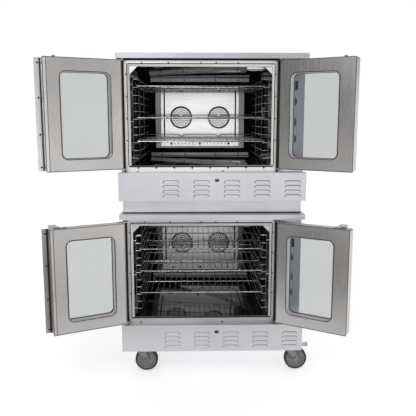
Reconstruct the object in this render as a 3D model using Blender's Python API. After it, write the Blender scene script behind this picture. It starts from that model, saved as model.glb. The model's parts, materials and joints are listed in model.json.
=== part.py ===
"""Double-stacked convection oven on casters, modelled as separate parts at rest, with its doors open.

Metres, +Z up, front towards -Y. The origin is on the floor, under the middle of the whole object's box.
Each deck is built in its own frame: X from the body's centre line, Y from the front plane towards the
back, Z from the bottom of the deck.
"""

import math

import bmesh
import bpy
from mathutils import Matrix

# Driving dimensions.
BODY_WIDTH = 0.972
CASING_WIDTH = 0.945
BODY_DEPTH = 1.060
DECK_HEIGHT = 0.748
SPACER_HEIGHT = 0.073
CASTER_HEIGHT = 0.160
SHEET = 0.002
GAP = 0.0003

# The front, from the front plane backwards, and the heights of its bands in a deck.
PANEL_HEIGHT = 0.148
COVER_HEIGHT = 0.027
FRAME_FRONT = 0.045
FRAME_SHEET = 0.003
CONTROL_FRONT = 0.035
CONTROL_LEFT = 0.3603

# The cavity.
CAVITY_WIDTH = 0.725
CAVITY_X = -0.058
CAVITY_FLOOR = 0.181
CAVITY_TOP = 0.684
CAVITY_REAR = 0.860
GUSSET = 0.038
BAFFLE_FRONT = 0.780
BAFFLE_WIDTH = 0.497
BAFFLE_MARGIN = 0.065
BAFFLE_RETURN = 0.040
FAN_SPREAD = 0.242
FAN_HEIGHT = 0.429

# Racks and the wire guides that carry them.
RUNG_COUNT = 11
RUNG_PITCH = 0.0405
RUNG_FIRST = 0.0385
WIRE = 0.006
RACK_LEVELS = {"upper": (2, 5, 9), "lower": (2, 5, 8)}
RACK_HALF = 0.342
RACK_FRONT = 0.080
RACK_DEPTH = 0.645
RACK_COLUMNS = 5
RACK_ROWS = 3
GUIDE_HALF = 0.356
GUIDE_REACH = 0.036

# Doors, in a frame at the hinge: along the closed door, and outwards from it.
HINGE_X = {"left": -0.456, "right": 0.3415}
HINGE_Y = 0.005
REST_DEG = {"left": -154.0, "right": 148.0}
CLOSED_SIGN = {"left": 1.0, "right": -1.0}
DOOR_HEEL = 0.0125
DOOR_TOE = 0.397
DOOR_BACK = -0.032
DOOR_FACE = 0.018
DOOR_LOW = 0.168
DOOR_TOP = 0.711
DOOR_CORNER = 0.012
HINGE_TAB_HALF = 0.012
HINGE_TAB_REACH = 0.040
HINGE_TAB_SHEET = 0.003
WINDOW_ALONG = (0.0710, 0.3160)
WINDOW_Z = (0.229, 0.644)
WINDOW_CORNER = 0.028
PANE = 0.005
PANE_LAP = 0.008
HANDLE_WIDTH = 0.041
HANDLE_REACH = 0.060
HANDLE_GRIP = 0.016
HANDLE_END = 0.045
HANDLE_RISE = 0.005
HANDLE_INSET = {"left": 0.015, "right": 0.042}
ASTRAGAL_REACH = 0.027
ASTRAGAL_FOOT = 0.014
ASTRAGAL_CLEAR = 0.001
ASTRAGAL_END = 0.003

# Controls.
SWITCH = (0.420, 0.590)
SWITCH_SIZE = (0.025, 0.037)
SWITCH_CLEAR = 0.0015
SWITCH_TILT_DEG = 8.0
SWITCH_RISE = 0.006
SWITCH_VALLEY = 0.003
SWITCH_FOOT = (0.008, 0.010)
KNOB_X = 0.405
KNOB_Z = {"mode_knob": 0.511, "thermostat_knob": 0.405, "timer_knob": 0.318}
KNOB_RADIUS = 0.022
KNOB_REACH = 0.025
KNOB_STANDOFF = 0.0005
KNOB_SKIRT = 0.006
KNOB_GRIP = 0.012
KNOB_SHAFT = 0.004
KNOB_SHAFT_REACH = 0.010

# The louvre panel and the other slots.
LOUVRE_COLUMNS = 5
LOUVRE_ROWS = 4
LOUVRE_FIRST_X = -0.215
LOUVRE_PITCH_X = 0.158
LOUVRE_FIRST_Z = 0.0270
LOUVRE_PITCH_Z = 0.0245
LOUVRE_LENGTH = 0.080
SLOT_HEIGHT = 0.006
VENT_ROWS = 4
VENT_PITCH = 0.030
VENT_LENGTH = 0.120
SERVICE_HALF = 0.400
SERVICE_LOW = 0.020
SERVICE_TOP = 0.130

# Fans and their motors.
INLET_HOLES = 6
INLET_RING = 0.044
INLET_HOLE = 0.018
INLET_SIDES = 10
FAN_BLADES = 8
FAN_RADIUS = 0.090
FAN_HUB = 0.030
FAN_BLADE = 0.006
FAN_FRONT = 0.800
FAN_DEPTH = 0.040
SHAFT_RADIUS = 0.008
SHAFT_HOLE = 0.0095
SHAFT_REACH = 0.020
MOTOR_RADIUS = 0.055
MOTOR_LENGTH = 0.120
MOTOR_PLATE = (0.400, 0.140)

# The spacer between the decks.
SPACER_INSET = 0.065
SPACER_WALL = 0.003

# Casters.
CASTER_X = 0.420
CASTER_INSET = 0.130
WHEEL_RADIUS = 0.0635
WHEEL_HALF = 0.016
TREAD_FLAT = 0.7
RIM_RADIUS = 0.050
HUB_RADIUS = 0.016
HUB_CLEAR = 0.0015
AXLE_RADIUS = 0.006
AXLE_CLEAR = 0.0005
TRAIL = 0.0535
CHEEK_INNER = 0.0195
CHEEK = 0.003
FORK_HEAD = 0.034
FORK_REAR = -0.030
FORK_FRONT = 0.036
FORK_BRIDGE_LOW = 0.140
FORK_BRIDGE_TOP = 0.148
FORK_BRIDGE_END = 0.030
FORK_BRIDGE_PEDAL = 0.012
FORK_EYE = 0.014
PEDAL_PIVOT = (0.024, 0.1405)
PEDAL_BARREL = 0.0045
PEDAL_TIP = 0.120
PEDAL_PAD = 0.036
PEDAL_HALF = 0.022
PEDAL_ARM = 0.010
PEDAL_LIP = 0.010

ROUND = 24
SMALL_ROUND = 12


def turned_point(side, along, out):
    """A door point's X and Y at rest, from the body's centre line and the front plane."""
    angle = math.radians(REST_DEG[side])
    x = CLOSED_SIGN[side] * along
    y = -out
    return (
        HINGE_X[side] + x * math.cos(angle) - y * math.sin(angle),
        HINGE_Y + x * math.sin(angle) + y * math.cos(angle),
    )


def door_reach(side):
    """The outer limits of an open door: the furthest X, and the nearest Y in front of the body."""
    toe = DOOR_TOE + (ASTRAGAL_REACH if side == "left" else 0.0)
    corners = [turned_point(side, toe, DOOR_FACE), turned_point(side, DOOR_TOE, DOOR_BACK)]
    far = max(corners, key=lambda corner: abs(corner[0]))
    near = min(corners, key=lambda corner: corner[1])
    return far[0], near[1]


LEFT_FAR, LEFT_NEAR = door_reach("left")
RIGHT_FAR, RIGHT_NEAR = door_reach("right")
BODY_X = -(LEFT_FAR + RIGHT_FAR) / 2
FRONT_Y = -(min(LEFT_NEAR, RIGHT_NEAR) + BODY_DEPTH + SHEET) / 2
DECK_BASE = {"lower": CASTER_HEIGHT, "upper": CASTER_HEIGHT + DECK_HEIGHT + SPACER_HEIGHT}

COLOURS = {
    "stainless": ((0.66, 0.65, 0.68), 0.32, 1.0),
    "enamel": ((0.012, 0.012, 0.015), 0.18, 0.0),
    "bright_sheet": ((0.80, 0.79, 0.79), 0.30, 1.0),
    "chrome": ((0.72, 0.71, 0.69), 0.18, 1.0),
    "glass": ((0.70, 0.76, 0.76), 0.05, 0.0),
    "black_plastic": ((0.02, 0.02, 0.022), 0.38, 0.0),
    "aluminium": ((0.62, 0.62, 0.62), 0.40, 1.0),
    "motor_paint": ((0.06, 0.065, 0.07), 0.45, 0.0),
    "zinc": ((0.55, 0.60, 0.64), 0.28, 1.0),
    "rubber": ((0.12, 0.12, 0.125), 0.60, 0.0),
}


def clear_scene():
    for obj in list(bpy.data.objects):
        bpy.data.objects.remove(obj, do_unlink=True)


def make_materials():
    materials = {}
    for name, (colour, roughness, metallic) in COLOURS.items():
        material = bpy.data.materials.new(name)
        material.use_nodes = True
        shader = material.node_tree.nodes["Principled BSDF"]
        shader.inputs["Base Color"].default_value = (*colour, 1.0)
        shader.inputs["Roughness"].default_value = roughness
        shader.inputs["Metallic"].default_value = metallic
        materials[name] = material
    return materials


# Shapes: each is a pair of points and faces.


def box(low, high):
    points = [(x, y, z) for x in (low[0], high[0]) for y in (low[1], high[1]) for z in (low[2], high[2])]
    faces = [(0, 1, 3, 2), (4, 6, 7, 5), (0, 4, 5, 1), (2, 3, 7, 6), (0, 2, 6, 4), (1, 5, 7, 3)]
    return points, faces


def on_axis(axis, first, second, along):
    """A point from its two coordinates across an axis and its place along it."""
    if axis == "X":
        return (along, first, second)
    if axis == "Y":
        return (first, along, second)
    return (first, second, along)


def prism(outline, axis, start, end):
    """An outline drawn across an axis, extruded along it."""
    count = len(outline)
    points = [on_axis(axis, a, b, along) for along in (start, end) for a, b in outline]
    faces = [tuple(range(count)), tuple(range(2 * count - 1, count - 1, -1))]
    for i in range(count):
        j = (i + 1) % count
        faces.append((i, j, j + count, i + count))
    return points, faces


def turned(profile, axis, centre, steps=ROUND):
    """A closed profile of (radius, place along the axis), turned about the axis through centre.

    Half a step of phase puts a flat, not a corner, at the bottom of a wheel.
    """
    points = []
    rings = []
    for radius, along in profile:
        if radius == 0:
            rings.append([len(points)] * steps)
            points.append(on_axis(axis, centre[0], centre[1], along))
            continue
        rings.append(list(range(len(points), len(points) + steps)))
        for i in range(steps):
            angle = 2 * math.pi * (i + 0.5) / steps
            first = centre[0] + radius * math.cos(angle)
            second = centre[1] + radius * math.sin(angle)
            points.append(on_axis(axis, first, second, along))
    faces = []
    for ring, following in zip(rings, rings[1:] + rings[:1]):
        for i in range(steps):
            j = (i + 1) % steps
            corners = list(dict.fromkeys((ring[i], ring[j], following[j], following[i])))
            if len(corners) > 2:
                faces.append(tuple(corners))
    return points, faces


def cylinder(radius, axis, centre, start, end, steps=SMALL_ROUND):
    return turned([(0, start), (radius, start), (radius, end), (0, end)], axis, centre, steps)


def rounded(low, high, radii, steps=5):
    """A rectangle's outline with round corners: high-high, low-high, low-low and high-low."""
    corners = [(high[0], high[1]), (low[0], high[1]), (low[0], low[1]), (high[0], low[1])]
    outline = []
    for number, ((x, y), radius) in enumerate(zip(corners, radii)):
        if radius == 0:
            outline.append((x, y))
            continue
        centre_x = x - radius if x == high[0] else x + radius
        centre_y = y - radius if y == high[1] else y + radius
        for step in range(steps + 1):
            angle = math.radians(90 * (number + step / steps))
            outline.append((centre_x + radius * math.cos(angle), centre_y + radius * math.sin(angle)))
    return outline


def lattice(xs, ys, bar, low, high):
    """Flat bars centred on the lines xs and ys, as one solid between two heights."""
    columns = [edge for x in xs for edge in (x - bar / 2, x + bar / 2)]
    rows = [edge for y in ys for edge in (y - bar / 2, y + bar / 2)]
    points = [(x, y, z) for z in (low, high) for y in rows for x in columns]
    layer = len(columns) * len(rows)

    def corner(i, j, top):
        return top * layer + j * len(columns) + i

    def filled(i, j):
        inside = 0 <= i < len(columns) - 1 and 0 <= j < len(rows) - 1
        return inside and (i % 2 == 0 or j % 2 == 0)

    faces = []
    for i in range(len(columns) - 1):
        for j in range(len(rows) - 1):
            if not filled(i, j):
                continue
            loop = ((i, j), (i + 1, j), (i + 1, j + 1), (i, j + 1))
            faces.append(tuple(corner(*at, 1) for at in loop))
            faces.append(tuple(corner(*at, 0) for at in reversed(loop)))
            neighbours = ((i, j - 1), (i + 1, j), (i, j + 1), (i - 1, j))
            for side, neighbour in enumerate(neighbours):
                if filled(*neighbour):
                    continue
                a, b = loop[side], loop[(side + 1) % 4]
                faces.append((corner(*a, 0), corner(*b, 0), corner(*b, 1), corner(*a, 1)))
    return points, faces


def mesh_from(name, shapes):
    mesh = bpy.data.meshes.new(name)
    bm = bmesh.new()
    for points, faces in shapes:
        verts = [bm.verts.new(point) for point in points]
        for face in faces:
            bm.faces.new([verts[i] for i in face])
    bmesh.ops.recalc_face_normals(bm, faces=bm.faces)
    bm.to_mesh(mesh)
    bm.free()
    return mesh


def empty(name, parent, location, rotation_z=0.0):
    obj = bpy.data.objects.new(name, None)
    bpy.context.scene.collection.objects.link(obj)
    obj.parent = parent
    obj.location = location
    obj.rotation_euler.z = rotation_z
    return obj


def solid(name, material, parent, shapes, joined=(), cut=(), origin=(0.0, 0.0, 0.0)):
    """One part: its shapes, with lists of others joined to them and cut from them by Booleans."""
    shift = Matrix.Translation([-value for value in origin])
    mesh = mesh_from(name, shapes)
    mesh.transform(shift)
    mesh.materials.append(MATERIALS[material])
    obj = bpy.data.objects.new(name, mesh)
    bpy.context.scene.collection.objects.link(obj)
    obj.parent = parent
    obj.location = origin
    operands = [("UNION", shape) for shape in joined] + [("DIFFERENCE", shape) for shape in cut]
    for number, (operation, shape) in enumerate(operands):
        helper_mesh = mesh_from(f"{name}_helper_{number}", shape)
        helper_mesh.transform(shift)
        helper = bpy.data.objects.new(f"{name}_helper_{number}", helper_mesh)
        bpy.context.scene.collection.objects.link(helper)
        helper.parent = obj
        helper.hide_render = True
        helper.display_type = "WIRE"
        modifier = obj.modifiers.new(operation.lower(), "BOOLEAN")
        modifier.operation = operation
        modifier.object = helper
    return obj


def smooth(obj, angle_deg=30.0):
    obj.data.shade_smooth()
    obj.data.set_sharp_from_angle(angle=math.radians(angle_deg))


# The body of a deck.


def fan_centres():
    return [CAVITY_X - FAN_SPREAD / 2, CAVITY_X + FAN_SPREAD / 2]


def casing(deck, parent):
    """The outer wrapper: sides, back and bottom, open in front and on top, with vents behind each motor."""
    half = CASING_WIDTH / 2
    front = FRAME_FRONT + FRAME_SHEET + GAP
    outer = box((-half, front, 0), (half, BODY_DEPTH, DECK_HEIGHT - SHEET - GAP))
    inside = box((SHEET - half, 0, SHEET), (half - SHEET, BODY_DEPTH - SHEET, DECK_HEIGHT))
    vents = []
    for x in fan_centres():
        for row in range(VENT_ROWS):
            z = FAN_HEIGHT + (row - (VENT_ROWS - 1) / 2) * VENT_PITCH
            low = (x - VENT_LENGTH / 2, BODY_DEPTH - 2 * SHEET, z)
            vents.append(box(low, (x + VENT_LENGTH / 2, BODY_DEPTH + SHEET, z + SLOT_HEIGHT)))
    solid(f"{deck}_casing", "stainless", parent, [outer], cut=[[inside], vents])


def top_cover(deck, parent):
    """A tray turned upside down over the casing, with a lip all round."""
    half = BODY_WIDTH / 2
    rear = BODY_DEPTH + GAP
    low = DECK_HEIGHT - COVER_HEIGHT
    outer = box((-half, 0, low), (half, rear + SHEET, DECK_HEIGHT))
    inside = box((SHEET - half, SHEET, low - SHEET), (half - SHEET, rear, DECK_HEIGHT - SHEET))
    solid(f"{deck}_top_cover", "stainless", parent, [outer], cut=[[inside]])


def cavity(deck, parent):
    """The welded oven chamber: a face frame with gussets in its upper corners, and a liner box behind it."""
    half = CASING_WIDTH / 2
    low = SHEET + GAP
    top = DECK_HEIGHT - SHEET - GAP
    shelf = PANEL_HEIGHT - SHEET
    edge = CONTROL_LEFT - GAP
    left = CAVITY_X - CAVITY_WIDTH / 2
    right = CAVITY_X + CAVITY_WIDTH / 2
    frame_rear = FRAME_FRONT + FRAME_SHEET
    frame_outline = [(-half, low), (half, low), (half, shelf), (edge, shelf), (edge, top), (-half, top)]
    plate = prism(frame_outline, "Y", FRAME_FRONT, frame_rear)
    liner = box(
        (left - SHEET, FRAME_FRONT + SHEET, CAVITY_FLOOR - SHEET),
        (right + SHEET, CAVITY_REAR + SHEET, CAVITY_TOP + SHEET),
    )
    inside = box((left, frame_rear, CAVITY_FLOOR), (right, CAVITY_REAR, CAVITY_TOP))
    mouth_outline = [
        (left, CAVITY_FLOOR),
        (right, CAVITY_FLOOR),
        (right, CAVITY_TOP - GUSSET),
        (right - GUSSET, CAVITY_TOP),
        (left + GUSSET, CAVITY_TOP),
        (left, CAVITY_TOP - GUSSET),
    ]
    mouth = prism(mouth_outline, "Y", FRAME_FRONT - SHEET, frame_rear + SHEET)
    service = box(
        (-SERVICE_HALF, FRAME_FRONT - SHEET, SERVICE_LOW),
        (SERVICE_HALF, frame_rear + SHEET, SERVICE_TOP),
    )
    shafts = [
        cylinder(SHAFT_HOLE, "Y", (x, FAN_HEIGHT), CAVITY_REAR - SHEET, CAVITY_REAR + 2 * SHEET)
        for x in fan_centres()
    ]
    cuts = [[inside], [mouth, service], shafts]
    solid(f"{deck}_cavity", "enamel", parent, [plate], joined=[[liner]], cut=cuts)


def fan_baffle(deck, parent):
    """A folded plate in front of the fans, with a ring of holes at each inlet and its sides turned back."""
    left = CAVITY_X - BAFFLE_WIDTH / 2
    right = CAVITY_X + BAFFLE_WIDTH / 2
    low = CAVITY_FLOOR + BAFFLE_MARGIN
    top = CAVITY_TOP - BAFFLE_MARGIN
    rear = BAFFLE_FRONT + BAFFLE_RETURN
    outer = box((left, BAFFLE_FRONT, low), (right, rear, top))
    inside = box(
        (left + SHEET, BAFFLE_FRONT + SHEET, low - SHEET),
        (right - SHEET, rear + SHEET, top + SHEET),
    )
    near = BAFFLE_FRONT - SHEET
    far = BAFFLE_FRONT + 2 * SHEET
    holes = []
    for x in fan_centres():
        for i in range(INLET_HOLES):
            angle = 2 * math.pi * i / INLET_HOLES
            centre = (x + INLET_RING * math.cos(angle), FAN_HEIGHT + INLET_RING * math.sin(angle))
            holes.append(cylinder(INLET_HOLE, "Y", centre, near, far, INLET_SIDES))
    solid(f"{deck}_fan_baffle", "bright_sheet", parent, [outer], cut=[[inside], holes])


def fan(deck, side, parent, x):
    """A radial fan wheel on its motor shaft."""
    outline = []
    for blade in range(FAN_BLADES):
        middle = 2 * math.pi * blade / FAN_BLADES
        for radius, half in ((FAN_HUB, -1), (FAN_RADIUS, -1), (FAN_RADIUS, 1), (FAN_HUB, 1)):
            angle = middle + half * FAN_BLADE / radius / 2
            outline.append((x + radius * math.cos(angle), FAN_HEIGHT + radius * math.sin(angle)))
    wheel = prism(outline, "Y", FAN_FRONT, FAN_FRONT + FAN_DEPTH)
    shaft = cylinder(SHAFT_RADIUS, "Y", (x, FAN_HEIGHT), FAN_FRONT + FAN_DEPTH / 2, CAVITY_REAR + SHAFT_REACH)
    origin = (x, FAN_FRONT, FAN_HEIGHT)
    solid(f"{deck}_fan_{side}", "aluminium", parent, [wheel], joined=[[shaft]], origin=origin)


def motor_pair(deck, parent):
    """Both fan motors on the plate that holds them to the back of the liner."""
    front = CAVITY_REAR + SHEET + GAP
    rear = front + FRAME_SHEET
    low = (CAVITY_X - MOTOR_PLATE[0] / 2, front, FAN_HEIGHT - MOTOR_PLATE[1] / 2)
    high = (CAVITY_X + MOTOR_PLATE[0] / 2, rear, FAN_HEIGHT + MOTOR_PLATE[1] / 2)
    motors = []
    bores = []
    for x in fan_centres():
        motors.append(cylinder(MOTOR_RADIUS, "Y", (x, FAN_HEIGHT), rear - SHEET, rear + MOTOR_LENGTH, ROUND))
        bores.append(cylinder(SHAFT_HOLE, "Y", (x, FAN_HEIGHT), front - SHEET, CAVITY_REAR + 2 * SHAFT_REACH))
    obj = solid(f"{deck}_fan_motors", "motor_paint", parent, [box(low, high)], joined=[motors], cut=[bores])
    smooth(obj)


def rung_height(level):
    return CAVITY_FLOOR + RUNG_FIRST + level * RUNG_PITCH


def rack_guide(deck, side, parent):
    """Upright wires with rungs bent inwards from them, on one side wall."""
    sign = -1 if side == "left" else 1

    def bar(inner, outer, front, rear, low, top):
        xs = sorted(CAVITY_X + sign * (GUIDE_HALF - reach) for reach in (inner, outer))
        return box((xs[0], front, low), (xs[1], rear, top))

    rear = RACK_FRONT + RACK_DEPTH
    low = rung_height(0) - RUNG_PITCH / 2
    top = rung_height(RUNG_COUNT - 1) + WIRE / 2
    uprights = []
    for y in (RACK_FRONT, rear - WIRE):
        uprights.append(bar(WIRE, 0, y, y + WIRE, low, top))
    rungs = []
    for level in range(RUNG_COUNT):
        z = rung_height(level)
        rungs.append(bar(GUIDE_REACH, WIRE / 2, RACK_FRONT - WIRE, rear + WIRE, z - WIRE, z))
    solid(f"{deck}_rack_guide_{side}", "chrome", parent, uprights, joined=[rungs])


def rack(deck, name, level, parent):
    """A wire rack, drawn as flat bars, resting on the rungs."""
    left = CAVITY_X - RACK_HALF
    spacing = (2 * RACK_HALF - WIRE) / RACK_COLUMNS
    xs = [left + WIRE / 2 + i * spacing for i in range(RACK_COLUMNS + 1)]
    row = (RACK_DEPTH - WIRE) / RACK_ROWS
    ys = [RACK_FRONT + WIRE / 2 + i * row for i in range(RACK_ROWS + 1)]
    low = rung_height(level) + GAP
    origin = (CAVITY_X, RACK_FRONT, low)
    shape = lattice(xs, ys, WIRE, low, low + WIRE)
    solid(f"{deck}_rack_{name}", "chrome", parent, [shape], origin=origin)


def louvre_panel(deck, parent):
    """The service panel under the oven: a shallow tray with groups of louvre slots."""
    half = BODY_WIDTH / 2
    rear = FRAME_FRONT - GAP
    outer = box((-half, 0, 0), (half, rear, PANEL_HEIGHT))
    inside = box((SHEET - half, SHEET, SHEET), (half - SHEET, rear + SHEET, PANEL_HEIGHT - SHEET))
    slots = []
    for column in range(LOUVRE_COLUMNS):
        x = LOUVRE_FIRST_X + column * LOUVRE_PITCH_X
        for row in range(LOUVRE_ROWS):
            z = LOUVRE_FIRST_Z + row * LOUVRE_PITCH_Z
            low = (x - LOUVRE_LENGTH / 2, -SHEET, z - SLOT_HEIGHT / 2)
            slots.append(box(low, (x + LOUVRE_LENGTH / 2, 2 * SHEET, z + SLOT_HEIGHT / 2)))
    solid(f"{deck}_louvre_panel", "stainless", parent, [outer], cut=[[inside], slots])


# Controls.


def control_panel(deck, parent):
    """The narrow panel right of the doors, with a window for the switch and a hole for each knob's shaft."""
    right = CASING_WIDTH / 2
    rear = FRAME_FRONT + FRAME_SHEET
    low = PANEL_HEIGHT + GAP
    top = DECK_HEIGHT - SHEET - GAP
    outer = box((CONTROL_LEFT, CONTROL_FRONT, low), (right, rear, top))
    inside = box(
        (CONTROL_LEFT + SHEET, CONTROL_FRONT + SHEET, low + SHEET),
        (right - SHEET, rear + SHEET, top - SHEET),
    )
    near = CONTROL_FRONT - SHEET
    far = CONTROL_FRONT + 2 * SHEET
    wide = SWITCH_SIZE[0] / 2 + SWITCH_CLEAR
    tall = SWITCH_SIZE[1] / 2 + SWITCH_CLEAR
    x, z = SWITCH
    holes = [box((x - wide, near, z - tall), (x + wide, far, z + tall))]
    for height in KNOB_Z.values():
        holes.append(cylinder(KNOB_SHAFT + SWITCH_CLEAR, "Y", (KNOB_X, height), near, far))
    solid(f"{deck}_control_panel", "stainless", parent, [outer], cut=[[inside], holes])


def power_switch(deck, parent):
    """A rocker with a shallow V face, at rest with one end pressed in."""
    x, z = SWITCH
    half = SWITCH_SIZE[1] / 2
    deep, foot = SWITCH_FOOT
    outline = [
        (-SWITCH_RISE, half),
        (-SWITCH_VALLEY, 0),
        (-SWITCH_RISE, -half),
        (0, -half),
        (deep, -foot),
        (deep, foot),
        (0, half),
    ]
    tilt = math.radians(-SWITCH_TILT_DEG)
    tilted = []
    for y, up in outline:
        across = y * math.cos(tilt) - up * math.sin(tilt)
        height = y * math.sin(tilt) + up * math.cos(tilt)
        tilted.append((CONTROL_FRONT + across, z + height))
    shape = prism(tilted, "X", x - SWITCH_SIZE[0] / 2, x + SWITCH_SIZE[0] / 2)
    solid(f"{deck}_power_switch", "black_plastic", parent, [shape], origin=(x, CONTROL_FRONT, z))


def knob(deck, name, height, parent):
    """A skirted knob with a grip bar across it, on its shaft."""
    face = CONTROL_FRONT - KNOB_REACH
    skirt = CONTROL_FRONT - KNOB_STANDOFF
    centre = (KNOB_X, height)
    disc = cylinder(KNOB_RADIUS, "Y", centre, skirt - KNOB_SKIRT, skirt, ROUND)
    low = (KNOB_X - KNOB_GRIP / 2, height - KNOB_RADIUS + SHEET)
    high = (KNOB_X + KNOB_GRIP / 2, height + KNOB_RADIUS - SHEET)
    grip = rounded(low, high, [KNOB_GRIP / 3] * 4, 3)
    bar = prism(grip, "Y", face, skirt - KNOB_SKIRT / 2)
    shaft = cylinder(KNOB_SHAFT, "Y", centre, skirt - KNOB_SKIRT / 2, CONTROL_FRONT + KNOB_SHAFT_REACH)
    origin = (KNOB_X, CONTROL_FRONT, height)
    solid(f"{deck}_{name}", "black_plastic", parent, [disc], joined=[[bar], [shaft]], origin=origin)


# Doors, each drawn closed in its hinge's frame: X along the door, Y inwards, Z as in the deck.


def facing(side, outline):
    """An outline drawn for a left door, mirrored for a right one."""
    return [(CLOSED_SIGN[side] * along, z) for along, z in outline]


def door_outline(side, inset):
    """The door from the front, with round corners at its free edge only."""
    low = (DOOR_HEEL + inset, DOOR_LOW + inset)
    high = (DOOR_TOE - inset, DOOR_TOP - inset)
    return facing(side, rounded(low, high, (DOOR_CORNER, 0, 0, DOOR_CORNER)))


def window_outline(side, lap):
    """The window, grown on all sides by lap."""
    low = (WINDOW_ALONG[0] - lap, WINDOW_Z[0] - lap)
    high = (WINDOW_ALONG[1] + lap, WINDOW_Z[1] + lap)
    return facing(side, rounded(low, high, [WINDOW_CORNER] * 4))


def hinge_tabs(side):
    """Plates under and over the door's heel, which reach out to the hinge's pins."""
    low = (-HINGE_TAB_HALF, -HINGE_TAB_HALF)
    high = (HINGE_TAB_REACH, HINGE_TAB_HALF)
    radius = HINGE_TAB_HALF * 0.8
    outline = facing(side, rounded(low, high, (0, radius, radius, 0)))
    bottom = prism(outline, "Z", DOOR_LOW - HINGE_TAB_SHEET, DOOR_LOW + SHEET / 2)
    top = prism(outline, "Z", DOOR_TOP - SHEET / 2, DOOR_TOP + HINGE_TAB_SHEET)
    return [bottom, top]


def door_shell(deck, side, hinge):
    """Two folded skins with tabs for the hinge's pins. Their space opens only into the window's edge."""
    outer = prism(door_outline(side, 0), "Y", -DOOR_FACE, -DOOR_BACK)
    inside = prism(door_outline(side, SHEET), "Y", SHEET - DOOR_FACE, -DOOR_BACK - SHEET)
    window = prism(window_outline(side, 0), "Y", -DOOR_FACE - SHEET, SHEET - DOOR_BACK)
    tabs = hinge_tabs(side)
    solid(f"{deck}_{side}_door_shell", "stainless", hinge, [outer], joined=[tabs], cut=[[inside], [window]])


def door_glass(deck, side, hinge):
    """A vented unit of two panes and a spacer, held between the door's skins."""
    front = SHEET + GAP - DOOR_FACE
    rear = -DOOR_BACK - SHEET - GAP
    unit = prism(window_outline(side, PANE_LAP), "Y", front, rear)
    space = prism(window_outline(side, 0), "Y", front + PANE, rear - PANE)
    middle = (front + rear) / 2
    x = CLOSED_SIGN[side] * (WINDOW_ALONG[0] + WINDOW_ALONG[1]) / 2
    low = WINDOW_Z[0] - PANE_LAP - SHEET
    vent = box((x - PANE, middle - PANE, low), (x + PANE, middle + PANE, WINDOW_Z[0] + PANE_LAP))
    solid(f"{deck}_{side}_door_glass", "glass", hinge, [unit], cut=[[space], [vent]])


def door_handle(deck, side, hinge):
    """A full-height pull, standing off the door at both ends."""
    toe = DOOR_TOE - HANDLE_INSET[side]
    xs = sorted(CLOSED_SIGN[side] * along for along in (toe - HANDLE_WIDTH, toe))
    near = -DOOR_FACE - HANDLE_REACH
    low = DOOR_LOW + HANDLE_RISE
    top = DOOR_TOP + HANDLE_RISE
    far = -DOOR_FACE - GAP
    outline = [
        (near, low),
        (far, low),
        (far, low + HANDLE_END),
        (near + HANDLE_GRIP, low + HANDLE_END),
        (near + HANDLE_GRIP, top - HANDLE_END),
        (far, top - HANDLE_END),
        (far, top),
        (near, top),
    ]
    shape = prism(outline, "X", xs[0], xs[1])
    solid(f"{deck}_{side}_door_handle", "stainless", hinge, [shape])


def astragal(deck, hinge):
    """A Z-shaped strip on the left door's outer face, which laps over the right door when both are shut."""
    lap = -DOOR_FACE - ASTRAGAL_CLEAR
    foot = -DOOR_FACE - GAP
    outline = [
        (DOOR_TOE - ASTRAGAL_FOOT, foot),
        (DOOR_TOE, foot),
        (DOOR_TOE, lap),
        (DOOR_TOE + ASTRAGAL_REACH, lap),
        (DOOR_TOE + ASTRAGAL_REACH, lap - SHEET),
        (DOOR_TOE - ASTRAGAL_FOOT, lap - SHEET),
    ]
    shape = prism(outline, "Z", DOOR_LOW + ASTRAGAL_END, DOOR_TOP - ASTRAGAL_END)
    solid(f"{deck}_astragal", "stainless", hinge, [shape])


def door(deck, side, parent):
    hinge = empty(
        f"{deck}_{side}_door_hinge",
        parent,
        (HINGE_X[side], HINGE_Y, 0),
        math.radians(REST_DEG[side]),
    )
    door_shell(deck, side, hinge)
    door_glass(deck, side, hinge)
    door_handle(deck, side, hinge)
    if side == "left":
        astragal(deck, hinge)


# Casters, each drawn in its swivel's frame: X the way it trails, Z from the floor.


def caster_fork(name, swivel, pedal):
    """A swivel head with a bridge, two cheeks and the wheel's axle."""
    half = CHEEK_INNER + CHEEK
    head = cylinder(FORK_HEAD, "Z", (0, 0), FORK_BRIDGE_TOP - SHEET, CASTER_HEIGHT - GAP, ROUND)
    bridge_end = FORK_BRIDGE_PEDAL if pedal else FORK_BRIDGE_END
    bridge = box((FORK_REAR, -half, FORK_BRIDGE_LOW), (bridge_end, half, FORK_BRIDGE_TOP))
    outline = [
        (FORK_REAR, FORK_BRIDGE_TOP),
        (FORK_FRONT, FORK_BRIDGE_TOP),
        (TRAIL + FORK_EYE, WHEEL_RADIUS + FORK_EYE / 2),
        (TRAIL + FORK_EYE / 2, WHEEL_RADIUS - FORK_EYE),
        (TRAIL - FORK_EYE / 2, WHEEL_RADIUS - FORK_EYE),
        (TRAIL - FORK_EYE, WHEEL_RADIUS + FORK_EYE / 2),
    ]
    cheeks = [prism(outline, "Y", sign * CHEEK_INNER, sign * half) for sign in (-1, 1)]
    axle = cylinder(AXLE_RADIUS, "Y", (TRAIL, WHEEL_RADIUS), -half - SHEET, half + SHEET)
    obj = solid(f"{name}_caster_fork", "zinc", swivel, [bridge], joined=[[head], cheeks, [axle]])
    smooth(obj)


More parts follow.
